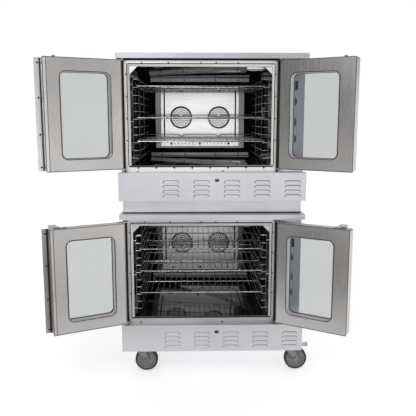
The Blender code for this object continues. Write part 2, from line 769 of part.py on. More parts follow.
def caster_wheel(name, swivel):
    """A wheel with a hub, a sloping web and a tread, bored for its axle."""
    bore = AXLE_RADIUS + AXLE_CLEAR
    hub_half = CHEEK_INNER - HUB_CLEAR
    profile = [
        (bore, -hub_half),
        (HUB_RADIUS, -hub_half),
        (RIM_RADIUS, -WHEEL_HALF),
        (WHEEL_RADIUS, -WHEEL_HALF * TREAD_FLAT),
        (WHEEL_RADIUS, WHEEL_HALF * TREAD_FLAT),
        (RIM_RADIUS, WHEEL_HALF),
        (HUB_RADIUS, hub_half),
        (bore, hub_half),
    ]
    # The flats of the faceted tread, not its corners, are a wheel's radius from the axle.
    stretch = 1 / math.cos(math.pi / ROUND)
    profile = [(radius * stretch if radius == WHEEL_RADIUS else radius, y) for radius, y in profile]
    shape = turned(profile, "Y", (TRAIL, WHEEL_RADIUS))
    obj = solid(f"{name}_caster_wheel", "rubber", swivel, [shape], origin=(TRAIL, 0, WHEEL_RADIUS))
    smooth(obj)


def brake_pedal(name, swivel):
    """A foot pedal hinged between the fork's cheeks, above the wheel."""
    x, z = PEDAL_PIVOT
    barrel_half = CHEEK_INNER - HUB_CLEAR
    barrel = cylinder(PEDAL_BARREL, "Y", PEDAL_PIVOT, -barrel_half, barrel_half)
    arm = box((x, -PEDAL_ARM, z - SHEET), (PEDAL_TIP - PEDAL_PAD / 2, PEDAL_ARM, z + SHEET))
    pad_outline = [
        (PEDAL_TIP - PEDAL_PAD, z - SHEET),
        (PEDAL_TIP - SHEET, z - SHEET),
        (PEDAL_TIP, z + PEDAL_LIP),
        (PEDAL_TIP - 2 * SHEET, z + PEDAL_LIP),
        (PEDAL_TIP - 3 * SHEET, z + SHEET),
        (PEDAL_TIP - PEDAL_PAD, z + SHEET),
    ]
    pad = prism(pad_outline, "Y", -PEDAL_HALF, PEDAL_HALF)
    solid(f"{name}_brake_pedal", "zinc", swivel, [barrel], joined=[[arm], [pad]], origin=(x, 0, z))


def caster(name, x, y, parent, pedal=False):
    swivel = empty(f"{name}_caster_swivel", parent, (x, y, 0))
    caster_fork(name, swivel, pedal)
    caster_wheel(name, swivel)
    if pedal:
        brake_pedal(name, swivel)


# The whole oven.


def stacking_spacer(parent):
    """A recessed ring between the two decks."""
    half = CASING_WIDTH / 2
    low = CASTER_HEIGHT + DECK_HEIGHT + GAP
    top = DECK_BASE["upper"] - GAP
    outer = box((-half, SPACER_INSET, low), (half, BODY_DEPTH - SPACER_INSET, top))
    wall = SPACER_WALL
    inside = box(
        (wall - half, SPACER_INSET + wall, low - wall),
        (half - wall, BODY_DEPTH - SPACER_INSET - wall, top + wall),
    )
    solid("stacking_spacer", "stainless", parent, [outer], cut=[[inside]])


def deck_parts(deck):
    frame = empty(f"{deck}_deck", None, (BODY_X, FRONT_Y, DECK_BASE[deck]))
    casing(deck, frame)
    top_cover(deck, frame)
    cavity(deck, frame)
    fan_baffle(deck, frame)
    motor_pair(deck, frame)
    for side, x in zip(("left", "right"), fan_centres()):
        fan(deck, side, frame, x)
        rack_guide(deck, side, frame)
        door(deck, side, frame)
    for name, level in zip(("bottom", "middle", "top"), RACK_LEVELS[deck]):
        rack(deck, name, level, frame)
    louvre_panel(deck, frame)
    control_panel(deck, frame)
    power_switch(deck, frame)
    for name, height in KNOB_Z.items():
        knob(deck, name, height, frame)


clear_scene()
MATERIALS = make_materials()
deck_parts("lower")
deck_parts("upper")
BASE = empty("base", None, (BODY_X, FRONT_Y, 0))
stacking_spacer(BASE)
for END, Y in (("front", CASTER_INSET), ("rear", BODY_DEPTH - CASTER_INSET)):
    caster(f"{END}_left", -CASTER_X, Y, BASE)
    caster(f"{END}_right", CASTER_X, Y, BASE, pedal=END == "front")
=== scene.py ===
"""Looks of the double-stacked convection oven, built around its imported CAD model.

Each deck's pieces are made in the deck's own frame: X from the body's centre line, Y from the front
plane towards the back, Z from the bottom of the deck. A door's pieces are made on the left door as it
stands closed, X from its hinge, and mirrored for the right door.
"""

import json
import math

import bmesh
import bpy
from mathutils import Matrix, Vector
from mathutils.geometry import tessellate_polygon


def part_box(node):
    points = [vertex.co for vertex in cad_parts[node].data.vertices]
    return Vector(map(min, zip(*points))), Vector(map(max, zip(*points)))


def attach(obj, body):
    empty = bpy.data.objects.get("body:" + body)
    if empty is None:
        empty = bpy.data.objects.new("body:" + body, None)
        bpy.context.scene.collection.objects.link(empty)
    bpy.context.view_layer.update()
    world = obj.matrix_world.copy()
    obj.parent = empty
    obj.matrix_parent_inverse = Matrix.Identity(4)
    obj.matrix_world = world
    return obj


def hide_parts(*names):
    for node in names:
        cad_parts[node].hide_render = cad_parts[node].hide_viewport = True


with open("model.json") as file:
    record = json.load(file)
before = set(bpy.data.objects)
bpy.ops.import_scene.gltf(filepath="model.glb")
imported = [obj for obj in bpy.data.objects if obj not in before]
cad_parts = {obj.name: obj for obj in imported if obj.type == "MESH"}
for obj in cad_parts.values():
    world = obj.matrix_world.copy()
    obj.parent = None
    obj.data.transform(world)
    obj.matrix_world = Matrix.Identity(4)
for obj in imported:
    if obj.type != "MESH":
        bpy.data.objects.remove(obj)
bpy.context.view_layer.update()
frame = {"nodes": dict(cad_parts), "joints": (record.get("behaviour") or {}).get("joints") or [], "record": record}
NODES = frame["nodes"]
RECORD = frame["record"]
JOINTS = {joint["name"]: joint for joint in frame["joints"]}
NODE_BODY = {node: body for body, nodes in RECORD["behaviour"]["bodies"].items() for node in nodes}
NODE_SLOT = {part["node"]: part["material_slot"] for part in RECORD["subparts"]}
DECKS = ("upper", "lower")
SIDES = ("left", "right")
KNOBS = ("mode_knob", "thermostat_knob", "timer_knob")

# Places read from the frame.
COVER_LOW, COVER_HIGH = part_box("upper_top_cover")
BODY_X = (COVER_LOW.x + COVER_HIGH.x) / 2
FRONT_Y = COVER_LOW.y
BASE = {deck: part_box(f"{deck}_louvre_panel")[0].z for deck in DECKS}
DECK_TOP = COVER_HIGH.z - BASE["upper"]
PANEL_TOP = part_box("upper_louvre_panel")[1].z - BASE["upper"]

# The welded chamber and its face frame.
CAVITY_X = (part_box("upper_fan_baffle")[0].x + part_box("upper_fan_baffle")[1].x) / 2 - BODY_X
CAVITY_HALF = 0.3625
CAVITY_FLOOR = 0.181
CAVITY_TOP = 0.684
CAVITY_REAR = 0.860
FAN_SPREAD = 0.242
FAN_HEIGHT = 0.429
SHAFT_HOLE = 0.0095
FRAME_FRONT = 0.045
FRAME_REAR = 0.048
GUSSET = 0.038
SHEET = 0.002
GAP = 0.0003
CAVITY_LEFT = CAVITY_X - CAVITY_HALF
CAVITY_RIGHT = CAVITY_X + CAVITY_HALF
COVER_LIP = 0.027

# The retainers round the mouth, and the fan baffle.
RING_WIDTH = 0.012
RING_RAISE = 0.005
BAFFLE_SHEET = 0.0015
INLET = 0.072
INLET_CENTRES = [(CAVITY_X + side * FAN_SPREAD / 2, FAN_HEIGHT) for side in (-1, 1)]

# Racks and guides.
RUNGS = 11
RUNG_PITCH = 0.0405
RUNG_FIRST = CAVITY_FLOOR + 0.0385
RACK_FRONT = 0.080
RACK_REAR = 0.725
RACK_HALF = 0.339
RIM_WIRE = 0.0036
CROSS_WIRE = 0.0027
ROD_WIRE = 0.0018
RACK_RODS = 20
GUIDE_WIRE = 0.0021
GUIDE_X = 0.3530
RUNG_X = 0.3230

# Doors, as in the CAD: along the closed door from its hinge, and across it.
DOOR_HEEL = 0.0125
DOOR_TOE = 0.397
DOOR_INNER = 0.032
DOOR_OUTER = -0.018
DOOR_LOW = 0.168
DOOR_TOP = 0.711
WINDOW = ((0.0710, 0.229), (0.3160, 0.644))
WINDOW_CORNER = 0.028
HINGE_TAB = 0.003

# Casters: half profiles of the tread and rim as (radius, half width), the tread's radius as a share
# of the wheel's, and the swivel's race as (radius, depth below the body).
TREAD_PROFILE = [(1.0, 0.0), (1.0, 0.011), (0.985, 0.0138), (0.95, 0.0155), (0.90, 0.0160), (0.82, 0.0160)]
RIM_PROFILE = [
    (0.0180, 0.0105), (0.0220, 0.0085), (0.0400, 0.0085), (0.0440, 0.0105),
    (0.0465, 0.0150), (0.0500, 0.0158), (0.0525, 0.0150),
]
RACE_PROFILE = [(0.030, 0.0165), (0.0365, 0.0155), (0.0380, 0.0120), (0.0365, 0.0085), (0.030, 0.0075)]

DETAIL = 48


# Shapes, added to a bmesh.


def on_axis(axis, first, second, along):
    if axis == "X":
        return Vector((along, first, second))
    if axis == "Y":
        return Vector((first, along, second))
    return Vector((first, second, along))


def add_plate(bm, outer, holes, axis, start, end):
    """A flat plate with holes, drawn across an axis."""
    loops = [outer] + list(holes)
    flat = [[Vector((a, b, 0)) for a, b in loop] for loop in loops]
    corners = [point for loop in loops for point in loop]
    layers = [[bm.verts.new(on_axis(axis, a, b, along)) for a, b in corners] for along in (start, end)]
    for a, b, c in tessellate_polygon(flat):
        bm.faces.new((layers[0][a], layers[0][b], layers[0][c]))
        bm.faces.new((layers[1][c], layers[1][b], layers[1][a]))
    first = 0
    for loop in loops:
        count = len(loop)
        for i in range(count):
            j = first + (i + 1) % count
            k = first + i
            bm.faces.new((layers[0][k], layers[0][j], layers[1][j], layers[1][k]))
        first += count


def add_box(bm, low, high):
    outline = [(low[0], low[1]), (high[0], low[1]), (high[0], high[1]), (low[0], high[1])]
    add_plate(bm, outline, [], "Z", low[2], high[2])


def rectangle(low, high):
    return [(low[0], low[1]), (high[0], low[1]), (high[0], high[1]), (low[0], high[1])]


def rounded(low, high, radius, steps=8):
    """A rectangle's outline with round corners."""
    centres = [
        (high[0] - radius, high[1] - radius),
        (low[0] + radius, high[1] - radius),
        (low[0] + radius, low[1] + radius),
        (high[0] - radius, low[1] + radius),
    ]
    outline = []
    for number, (x, y) in enumerate(centres):
        for step in range(steps + 1):
            angle = math.radians(90 * (number + step / steps))
            outline.append((x + radius * math.cos(angle), y + radius * math.sin(angle)))
    return outline


def circle(centre, radius, steps=DETAIL):
    outline = []
    for i in range(steps):
        angle = 2 * math.pi * i / steps
        outline.append((centre[0] + radius * math.cos(angle), centre[1] + radius * math.sin(angle)))
    return outline


def join_rings(bm, rings):
    """Faces between each ring of vertices and the next."""
    for ring, following in zip(rings, rings[1:]):
        for i in range(len(ring)):
            j = (i + 1) % len(ring)
            corners = list(dict.fromkeys((ring[i], ring[j], following[j], following[i])))
            if len(corners) > 2:
                bm.faces.new(corners)


def add_turned(bm, profile, axis, centre, steps=DETAIL):
    """A closed profile of (radius, place along the axis), turned about the axis."""
    rings = []
    for radius, along in profile:
        if radius == 0:
            rings.append([bm.verts.new(on_axis(axis, centre[0], centre[1], along))] * steps)
            continue
        rings.append([bm.verts.new(on_axis(axis, a, b, along)) for a, b in circle(centre, radius, steps)])
    join_rings(bm, rings + rings[:1])


def add_disc(bm, axis, centre, radius, start, end, round_edge=0.0006, steps=24):
    """A short cylinder with its far edge rounded off."""
    step = round_edge if end > start else -round_edge
    profile = [(0, start), (radius, start), (radius, end - step), (radius - round_edge, end), (0, end)]
    add_turned(bm, profile, axis, centre, steps)


def bent(points, radius, steps=5):
    """A path with its corners rounded to a radius."""
    points = [Vector(point) for point in points]
    path = [points[0]]
    for before, corner, after in zip(points, points[1:], points[2:]):
        back = (before - corner).normalized()
        ahead = (after - corner).normalized()
        angle = back.angle(ahead)
        reach = min(radius / math.tan(angle / 2), (before - corner).length / 2, (after - corner).length / 2)
        start = corner + back * reach
        end = corner + ahead * reach
        for step in range(steps + 1):
            share = step / steps
            path.append(start.lerp(corner, share).lerp(corner.lerp(end, share), share))
    path.append(points[-1])
    return path


def add_wire(bm, points, radius, sides=8, closed=False):
    """A round wire along a path."""
    points = [Vector(point) for point in points]
    count = len(points)
    across = None
    rings = []
    for i, point in enumerate(points):
        before = points[i - 1] if closed or i else point
        after = points[(i + 1) % count] if closed or i < count - 1 else point
        ahead = (after - before).normalized()
        if across is None:
            across = ahead.orthogonal().normalized()
        across = (across - ahead * across.dot(ahead)).normalized()
        other = ahead.cross(across)
        ring = []
        for side in range(sides):
            angle = 2 * math.pi * side / sides
            ring.append(bm.verts.new(point + (across * math.cos(angle) + other * math.sin(angle)) * radius))
        rings.append(ring)
    join_rings(bm, rings)
    if closed:
        last, first = rings[-1], rings[0]
        shift = min(range(sides), key=lambda k: (last[0].co - first[k].co).length)
        join_rings(bm, [last, first[shift:] + first[:shift]])
    else:
        bm.faces.new(rings[0])
        bm.faces.new(list(reversed(rings[-1])))


def add_sheet(bm, grid, thickness, away):
    """A curved sheet through a grid of points, thickened in one direction."""
    shift = Vector(away) * thickness
    layers = [[[bm.verts.new(Vector(p) + shift * side) for p in row] for row in grid] for side in (0, 1)]
    rows, columns = len(grid), len(grid[0])
    for i in range(rows - 1):
        for j in range(columns - 1):
            for layer in layers:
                bm.faces.new((layer[i][j], layer[i + 1][j], layer[i + 1][j + 1], layer[i][j + 1]))
    edge = [(i, 0) for i in range(rows)] + [(rows - 1, j) for j in range(1, columns)]
    edge += [(i, columns - 1) for i in range(rows - 2, -1, -1)] + [(0, j) for j in range(columns - 2, 0, -1)]
    for (i, j), (k, m) in zip(edge, edge[1:] + edge[:1]):
        bm.faces.new((layers[0][i][j], layers[0][k][m], layers[1][k][m], layers[1][i][j]))


# Materials. Object coordinates are the frame at rest, in metres.


class Nodes:
    """A node tree, and short calls for the nodes that the materials, the floor and the world share."""

    def __init__(self, tree):
        self.tree = tree

    def add(self, kind, inputs, **settings):
        """Adds a node. An input that is another node's output is linked, and a constant is set."""
        node = self.tree.nodes.new(f"ShaderNode{kind}")
        for label, value in settings.items():
            setattr(node, label, value)
        for label, value in inputs.items():
            if isinstance(value, bpy.types.NodeSocket):
                self.tree.links.new(value, node.inputs[label])
            else:
                node.inputs[label].default_value = value
        return node.outputs

    def steps(self, value, low, high, result_low=0.0, result_high=1.0):
        """Maps a value's range on to another, smoothly, and holds it at the ends."""
        ends = {"From Min": low, "From Max": high, "To Min": result_low, "To Max": result_high}
        return self.add("MapRange", {"Value": value, **ends}, interpolation_type="SMOOTHSTEP")["Result"]

    def combine(self, operation, first, second, clamped=False):
        """One sum or product of two values."""
        return self.add("Math", {0: first, 1: second}, operation=operation, use_clamp=clamped)["Value"]


class Shader(Nodes):
    """A node material, with short calls for the patterns that several materials share."""

    def __init__(self, name, colour, roughness, metallic=0.0, **constants):
        self.material = bpy.data.materials.new(name)
        self.material.use_nodes = True
        super().__init__(self.material.node_tree)
        self.inputs = self.tree.nodes["Principled BSDF"].inputs
        self.inputs["Base Color"].default_value = (*colour, 1.0)
        self.inputs["Roughness"].default_value = roughness
        self.inputs["Metallic"].default_value = metallic
        for label, value in constants.items():
            self.inputs[label.replace("_", " ")].default_value = value
        self.place = self.add("TexCoord", {})["Object"]

    def set(self, label, value):
        self.tree.links.new(value, self.inputs[label])

    def before(self, label):
        """What an input has so far: the socket linked to it, or its constant."""
        socket = self.inputs[label]
        return socket.links[0].from_socket if socket.is_linked else socket.default_value

    def noise(self, scale, detail=3.0, roughness=0.5):
        """Noise with a scale in cycles per metre, or one along each axis."""
        scales = scale if isinstance(scale, tuple) else (scale,) * 3
        place = self.add("Mapping", {"Vector": self.place, "Scale": scales})["Vector"]
        inputs = {"Vector": place, "Scale": 1.0, "Detail": detail, "Roughness": roughness}
        return self.add("TexNoise", inputs)["Fac"]

    def tint(self, mask, colour):
        """Mixes a colour over the base colour where the mask is 1."""
        inputs = {"Factor": mask, "A": self.before("Base Color"), "B": (*colour, 1.0)}
        self.set("Base Color", self.add("Mix", inputs, data_type="RGBA")["Result"])

    def edges(self, radius, share):
        """A mask that reaches the share along sharp edges."""
        rounded_off = self.add("Bevel", {"Radius": radius}, samples=4)["Normal"]
        normal = self.add("NewGeometry", {})["Normal"]
        facing = self.add("VectorMath", {0: rounded_off, 1: normal}, operation="DOT_PRODUCT")["Value"]
        return self.steps(facing, 0.99, 0.80, 0.0, share)

    def below(self, share):
        """A mask that reaches the share on surfaces that face down, for painted shade on undersides."""
        normal = self.add("NewGeometry", {})["Normal"]
        up = self.add("SeparateXYZ", {"Vector": normal})["Z"]
        return self.steps(up, 0.30, -0.15, 0.0, share)

    def rough(self, value, low, high):
        self.set("Roughness", self.steps(value, 0.3, 0.7, low, high))

    def bump(self, value, strength, distance):
        inputs = {"Strength": strength, "Distance": distance, "Height": value}
        if self.inputs["Normal"].is_linked:
            inputs["Normal"] = self.before("Normal")
        self.set("Normal", self.add("Bump", inputs)["Normal"])


def scaled(colour, share):
    return tuple(min(1.0, value * share) for value in colour)


def brushed(name, colour, roughness, grain, cloud=0.10, stain=None, ripple=0.02):
    """Brushed sheet: fine grain along one axis, soft clouds, faint handling marks, and sharp edges darkened as
    painted shade.
    """
    shader = Shader(name, colour, roughness, 1.0)
    along, across = 7.0, 1300.0
    fine = shader.noise(tuple(along if axis == grain else across for axis in "XYZ"), 2.0)
    broad = shader.noise((3.1, 3.1, 2.3), 3.0)
    shader.tint(shader.steps(fine, 0.32, 0.68, 0.0, 0.5), scaled(colour, 0.93))
    shader.tint(shader.steps(broad, 0.40, 0.66, 0.0, 1.0), scaled(colour, 1.0 - cloud))
    if stain:
        patches = shader.noise((7.0, 7.0, 5.0), 5.0, 0.62)
        shader.tint(shader.steps(patches, 0.54, 0.74, 0.0, 0.55), stain)
    # Painted shade: sharp edges darkened to 40 % of the colour.
    shader.tint(shader.edges(0.0020, 0.7), scaled(colour, 0.40))
    shader.rough(fine, roughness * 0.82, roughness * 1.2)
    shader.bump(fine, 0.03, 0.0001)
    shader.bump(broad, ripple, 0.004)
    return shader.material


def enamel(name, colour, roughness, fleck, ior=1.9):
    """Glossy porcelain enamel: orange-peel ripple, faint flecks and dull baked-on haze."""
    shader = Shader(name, colour, roughness, 0.0, IOR=ior)
    haze = shader.noise(9.0, 5.0, 0.6)
    flecks = shader.noise(700.0, 1.0)
    shader.tint(shader.steps(flecks, 0.66, 0.72, 0.0, 0.6), fleck)
    shader.tint(shader.steps(haze, 0.50, 0.75, 0.0, 0.35), scaled(fleck, 0.7))
    shader.rough(haze, roughness * 0.7, roughness * 1.6)
    shader.bump(shader.noise(160.0, 2.0), 0.02, 0.0005)
    return shader.material


def wire_metal(name, colour, roughness, burnt):
    """Plated wire, dulled and browned a little by heat, with its undersides painted dark as shade."""
    shader = Shader(name, colour, roughness, 1.0)
    heat = shader.noise(14.0, 4.0, 0.6)
    fine = shader.noise(600.0, 2.0)
    shader.tint(shader.steps(heat, 0.42, 0.70, 0.0, 0.8), burnt)
    shader.tint(shader.steps(fine, 0.55, 0.75, 0.0, 0.5), scaled(colour, 0.7))
    # Painted shade: faces that point down are darkened almost to black.
    shader.tint(shader.below(0.95), scaled(burnt, 0.08))
    shader.rough(heat, roughness, roughness * 1.9)
    shader.bump(fine, 0.1, 0.0002)
    return shader.material


def plastic(name, colour, roughness, pale):
    """Moulded plastic: a fine pebble grain, with its sharp edges paler."""
    shader = Shader(name, colour, roughness)
    grain = shader.noise(1500.0, 2.0)
    shader.tint(shader.edges(0.0012, 0.5), pale)
    shader.rough(grain, roughness * 0.85, roughness * 1.15)
    shader.bump(grain, 0.12, 0.0002)
    return shader.material


def tyre(name, colour, roughness, dust):
    """Rubber with floor dust on it."""
    shader = Shader(name, colour, roughness)
    dirt = shader.noise(60.0, 5.0, 0.65)
    grain = shader.noise(900.0, 2.0)
    shader.tint(shader.steps(dirt, 0.45, 0.72, 0.0, 0.7), dust)
    shader.rough(dirt, roughness * 0.8, roughness * 1.2)
    shader.bump(grain, 0.2, 0.0003)
    return shader.material


def window_glass(name, colour, alpha):
    """A pane seen through as a light tint, with faint smears that show in its gloss."""
    shader = Shader(name, colour, 0.03, 0.0, Alpha=alpha, IOR=1.5)
    smears = shader.noise((11.0, 11.0, 4.0), 5.0, 0.6)
    shader.tint(shader.steps(smears, 0.5, 0.8, 0.0, 0.5), scaled(colour, 1.15))
    shader.rough(smears, 0.02, 0.09)
    return shader.material


def lens(name, colour, roughness):
    """Pressed glass over a lamp, with a wavy face."""
    shader = Shader(name, colour, roughness)
    shader.bump(shader.noise(240.0, 1.0), 0.3, 0.001)
    return shader.material


# Painted reflection: the panels' lavender and the doors' warm grey are one stainless, tinted apart for what each
# reflects.
LAVENDER = (0.66, 0.65, 0.69)
WARM_REFLECTION_STEEL = (0.62, 0.60, 0.585)
# Painted light: a lit cream tone of the frame's steel, for the upper deck.
LIT_CREAM_STEEL = (0.83, 0.82, 0.79)

STEEL_PANEL = brushed("steel_panel", LAVENDER, 0.34, "X", 0.07)
# Painted reflection: the doors' steel is tinted warm grey for what they reflect.
STEEL_DOOR = brushed("steel_door_reflection_tint", WARM_REFLECTION_STEEL, 0.30, "Z", 0.12, stain=(0.50, 0.48, 0.465), ripple=0.05)
# Lit and shaded copies of one steel, as painted light and shade: the frame is cream on the upper deck and grey on
# the lower.
STEEL_FRAME = {
    "upper": brushed("steel_frame_lit", LIT_CREAM_STEEL, 0.34, "X", 0.10, stain=(0.66, 0.63, 0.58)),
    "lower": brushed("steel_frame_shaded", (0.66, 0.645, 0.63), 0.36, "X", 0.12, stain=(0.48, 0.45, 0.42)),
}
# Lit and shaded copies of the astragal's steel, as painted light and shade: pale on the upper deck, dark on the
# lower.
STEEL_ASTRAGAL = {
    "upper": brushed("steel_astragal_lit", (0.86, 0.85, 0.89), 0.32, "Z", 0.08),
    "lower": brushed("steel_astragal_shaded", (0.40, 0.385, 0.375), 0.36, "Z", 0.30, stain=(0.15, 0.14, 0.135)),
}
STEEL_RIM = brushed("steel_rim", (0.64, 0.63, 0.61), 0.24, "Z", 0.08)
# Painted shade: a darker copy of the frame's steel for the sides of the mouth's retainers.
STEEL_TRIM_SHADED = brushed("steel_trim_shaded", (0.64, 0.63, 0.62), 0.28, "Z", 0.12)
# Lit and shaded copies of the baffle's steel, as painted light and shade: white on the upper deck, grey on the
# lower, also used for the lamp trays.
STEEL_BAFFLE = {
    "upper": brushed("steel_baffle_lit", (1.0, 0.995, 0.99), 0.27, "X", 0.04),
    "lower": brushed("steel_baffle_shaded", (0.74, 0.725, 0.72), 0.34, "X", 0.12, stain=(0.50, 0.48, 0.47)),
}
# Shaded and lit copies of the panels' steel, as painted light and shade: the upper deck's cover darker, the lower
# deck's the plain tone.
STEEL_COVER = {
    "upper": brushed("steel_cover_shaded", scaled(LAVENDER, 0.82), 0.34, "X", 0.14, stain=(0.42, 0.41, 0.42)),
    "lower": brushed("steel_cover_lit", LAVENDER, 0.34, "X", 0.10),
}
# Painted shade: dark steel laid along folds and louvre crests, paler for the lower deck's louvres.
STEEL_CREASE_SHADE = brushed("steel_crease_shade", (0.20, 0.195, 0.20), 0.45, "X", 0.10)
STEEL_HOOD_CREASE_SHADE = {
    "upper": STEEL_CREASE_SHADE,
    "lower": brushed("steel_crease_pale", (0.40, 0.39, 0.41), 0.45, "X", 0.10),
}
ENAMEL_BLACK = enamel("enamel_black", (0.014, 0.014, 0.017), 0.06, (0.08, 0.08, 0.09), ior=3.3)
# Painted shade: near-black matte enamel for the rear wall, standing in for the shade behind the baffle.
ENAMEL_REAR_SHADE = enamel("enamel_rear_shade", (0.0035, 0.0035, 0.0040), 0.45, (0.010, 0.010, 0.011), ior=1.2)
ENAMEL_GREY = enamel("enamel_grey", (0.90, 0.89, 1.0), 0.24, (0.96, 0.95, 1.0))
# Painted shade: a near-black copy of the grey enamel, for the lower deck's baffle surround.
ENAMEL_GREY_SHADED = enamel("enamel_grey_shaded", (0.016, 0.016, 0.020), 0.25, (0.05, 0.05, 0.06))
ENAMEL_SURROUND = {"upper": ENAMEL_GREY, "lower": ENAMEL_GREY_SHADED}
CHROME_WIRE = wire_metal("chrome_wire", (0.72, 0.71, 0.685), 0.18, (0.28, 0.265, 0.245))
GUIDE_METAL = wire_metal("guide_wire", (0.64, 0.625, 0.60), 0.20, (0.24, 0.225, 0.21))
ZINC = wire_metal("zinc_plate", (0.68, 0.72, 0.76), 0.24, (0.50, 0.53, 0.56))
FASTENER = wire_metal("fastener_steel", (0.20, 0.195, 0.19), 0.35, (0.10, 0.095, 0.09))
BRIGHT_PIN = wire_metal("bright_pin", (0.85, 0.85, 0.84), 0.15, (0.55, 0.55, 0.54))
ALUMINIUM = wire_metal("cast_aluminium", (0.62, 0.62, 0.62), 0.38, (0.42, 0.42, 0.41))
MOTOR_PAINT = enamel("motor_paint", (0.06, 0.065, 0.07), 0.4, (0.11, 0.11, 0.12))
BLACK_PLASTIC = plastic("black_plastic", (0.018, 0.018, 0.020), 0.38, (0.10, 0.10, 0.105))
PALE_MARK = plastic("pale_mark", (0.75, 0.75, 0.74), 0.5, (0.9, 0.9, 0.9))
SEAL_BROWN = tyre("seal_brown", (0.050, 0.040, 0.034), 0.6, (0.11, 0.09, 0.075))
SPACER_BAR = plastic("spacer_bar", (0.93, 0.94, 0.95), 0.45, (0.97, 0.97, 0.97))
# Painted shade: black strips laid where shade falls, under the cover, beside the doors and at the spacer's foot.
SHADE_STRIP_BLACK = tyre("shade_strip_black", (0.006, 0.006, 0.006), 0.75, (0.016, 0.015, 0.014))
GASKET = tyre("gasket_rubber", (0.035, 0.030, 0.028), 0.65, (0.085, 0.070, 0.060))
TREAD = tyre("tread_rubber", (0.020, 0.024, 0.022), 0.6, (0.060, 0.063, 0.060))
WHEEL_GREY = tyre("wheel_grey", (0.190, 0.178, 0.192), 0.5, (0.30, 0.28, 0.30))
GLASS = window_glass("door_glass", (0.050, 0.100, 0.112), 0.138)
LAMP_LENS = lens("lamp_lens", (0.86, 0.84, 0.78), 0.25)


# Pieces.


def deck_matrix(deck):
    return Matrix.Translation((BODY_X, FRONT_Y, BASE[deck]))


def deck_box(deck, part):
    """A node's lowest and highest X, Y and Z, in its deck's frame."""
    origin = (BODY_X, FRONT_Y, BASE[deck])
    return [[value - start for value, start in zip(corner, origin)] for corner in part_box(f"{deck}_{part}")]


def rest_angle(deck, side):
    """How far the door's rest pose is turned from closed, about +Z, in radians."""
    joint = JOINTS[f"{deck}_{side}_door_hinge"]
    return math.radians(-joint["range_deg"][0]) * joint["axis"][2]


def door_matrix(deck, side):
    x, y, _ = JOINTS[f"{deck}_{side}_door_hinge"]["pos_m"]
    mirror = Matrix.Diagonal((1.0 if side == "left" else -1.0, 1.0, 1.0, 1.0))
    turn = Matrix.Rotation(rest_angle(deck, side), 4, "Z")
    return Matrix.Translation((x, y, BASE[deck])) @ turn @ mirror


def make_object(name, bm, material):
    bmesh.ops.recalc_face_normals(bm, faces=bm.faces)
    mesh = bpy.data.meshes.new(name)
    bm.to_mesh(mesh)
    bm.free()
    mesh.materials.append(material)
    obj = bpy.data.objects.new(name, mesh)
    bpy.context.scene.collection.objects.link(obj)
    return obj


def make_piece(name, bm, material, body, slot, matrix=None, replaces=(), bevel=0.0, angle=35.0):
    """Turns a bmesh into a piece that rides on a body, with its edges rounded and its curves smooth."""
    if matrix is not None:
        bm.transform(matrix)
    obj = make_object(name, bm, material)
    mesh = obj.data
    mesh.shade_smooth()
    if bevel:
        modifier = obj.modifiers.new("bevel", "BEVEL")
        modifier.width = bevel
        modifier.segments = 2
        modifier.limit_method = "ANGLE"
        modifier.angle_limit = math.radians(40)
        weighted = obj.modifiers.new("flat faces", "WEIGHTED_NORMAL")
        weighted.weight = 100
        graph = bpy.context.evaluated_depsgraph_get()
        obj.data = bpy.data.meshes.new_from_object(obj.evaluated_get(graph))
        obj.modifiers.clear()
        bpy.data.meshes.remove(mesh)
    else:
        mesh.set_sharp_from_angle(angle=math.radians(angle))
    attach(obj, body)
    if replaces:
        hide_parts(*replaces)


def deck_piece(deck, name, bm, material, slot, body="body", **options):
    """A piece drawn in a deck's frame, which rides on the fixed body unless another is given."""
    make_piece(f"{deck}_{name}", bm, material, body, slot, deck_matrix(deck), **options)


def door_piece(deck, side, name, bm, material, slot, **options):
    """A piece drawn on a closed door, which rides on it."""
    door = f"{deck}_{side}_door"
    make_piece(f"{door}_{name}", bm, material, door, slot, door_matrix(deck, side), **options)


def softened(node, material, radius):
    """A copy of a CAD node with its edges rounded, which is shown in its place."""
    mesh = NODES[node].data.copy()
    if "custom_normal" in mesh.attributes:
        mesh.attributes.remove(mesh.attributes["custom_normal"])
    bm = bmesh.new()
    bm.from_mesh(mesh)
    bpy.data.meshes.remove(mesh)
    bmesh.ops.remove_doubles(bm, verts=bm.verts, dist=1e-5)
    bmesh.ops.dissolve_limit(bm, angle_limit=math.radians(0.5), verts=bm.verts, edges=bm.edges)
    body = NODE_BODY[node]
    make_piece(f"{node}_skin", bm, material, body, NODE_SLOT[node], replaces=(node,), bevel=radius)


def paint(node, material):
    """Gives a CAD node that is shown as it is its finish."""
    mesh = NODES[node].data
    mesh.materials.clear()
    mesh.materials.append(material)


# The body of a deck.


def face_frame(deck):
    """The recessed frame round the chamber's mouth, with gussets in its upper corners."""
    half = 0.4725
    shelf = PANEL_TOP - SHEET
    controls = 0.360
    low = SHEET + GAP
    top = DECK_TOP - SHEET - GAP
    outer = [(-half, low), (half, low), (half, shelf), (controls, shelf), (controls, top), (-half, top)]
    mouth = [
        (CAVITY_LEFT, CAVITY_FLOOR),
        (CAVITY_RIGHT, CAVITY_FLOOR),
        (CAVITY_RIGHT, CAVITY_TOP - GUSSET),
        (CAVITY_RIGHT - GUSSET, CAVITY_TOP),
        (CAVITY_LEFT + GUSSET, CAVITY_TOP),
        (CAVITY_LEFT, CAVITY_TOP - GUSSET),
    ]
    service = rectangle((-0.400, 0.020), (0.400, 0.130))
    bm = bmesh.new()
    add_plate(bm, outer, [mouth, service], "Y", FRAME_FRONT, FRAME_REAR)
    replaced = (f"{deck}_cavity",)
    deck_piece(deck, "face_frame", bm, STEEL_FRAME[deck], "stainless", replaces=replaced, bevel=0.0006)


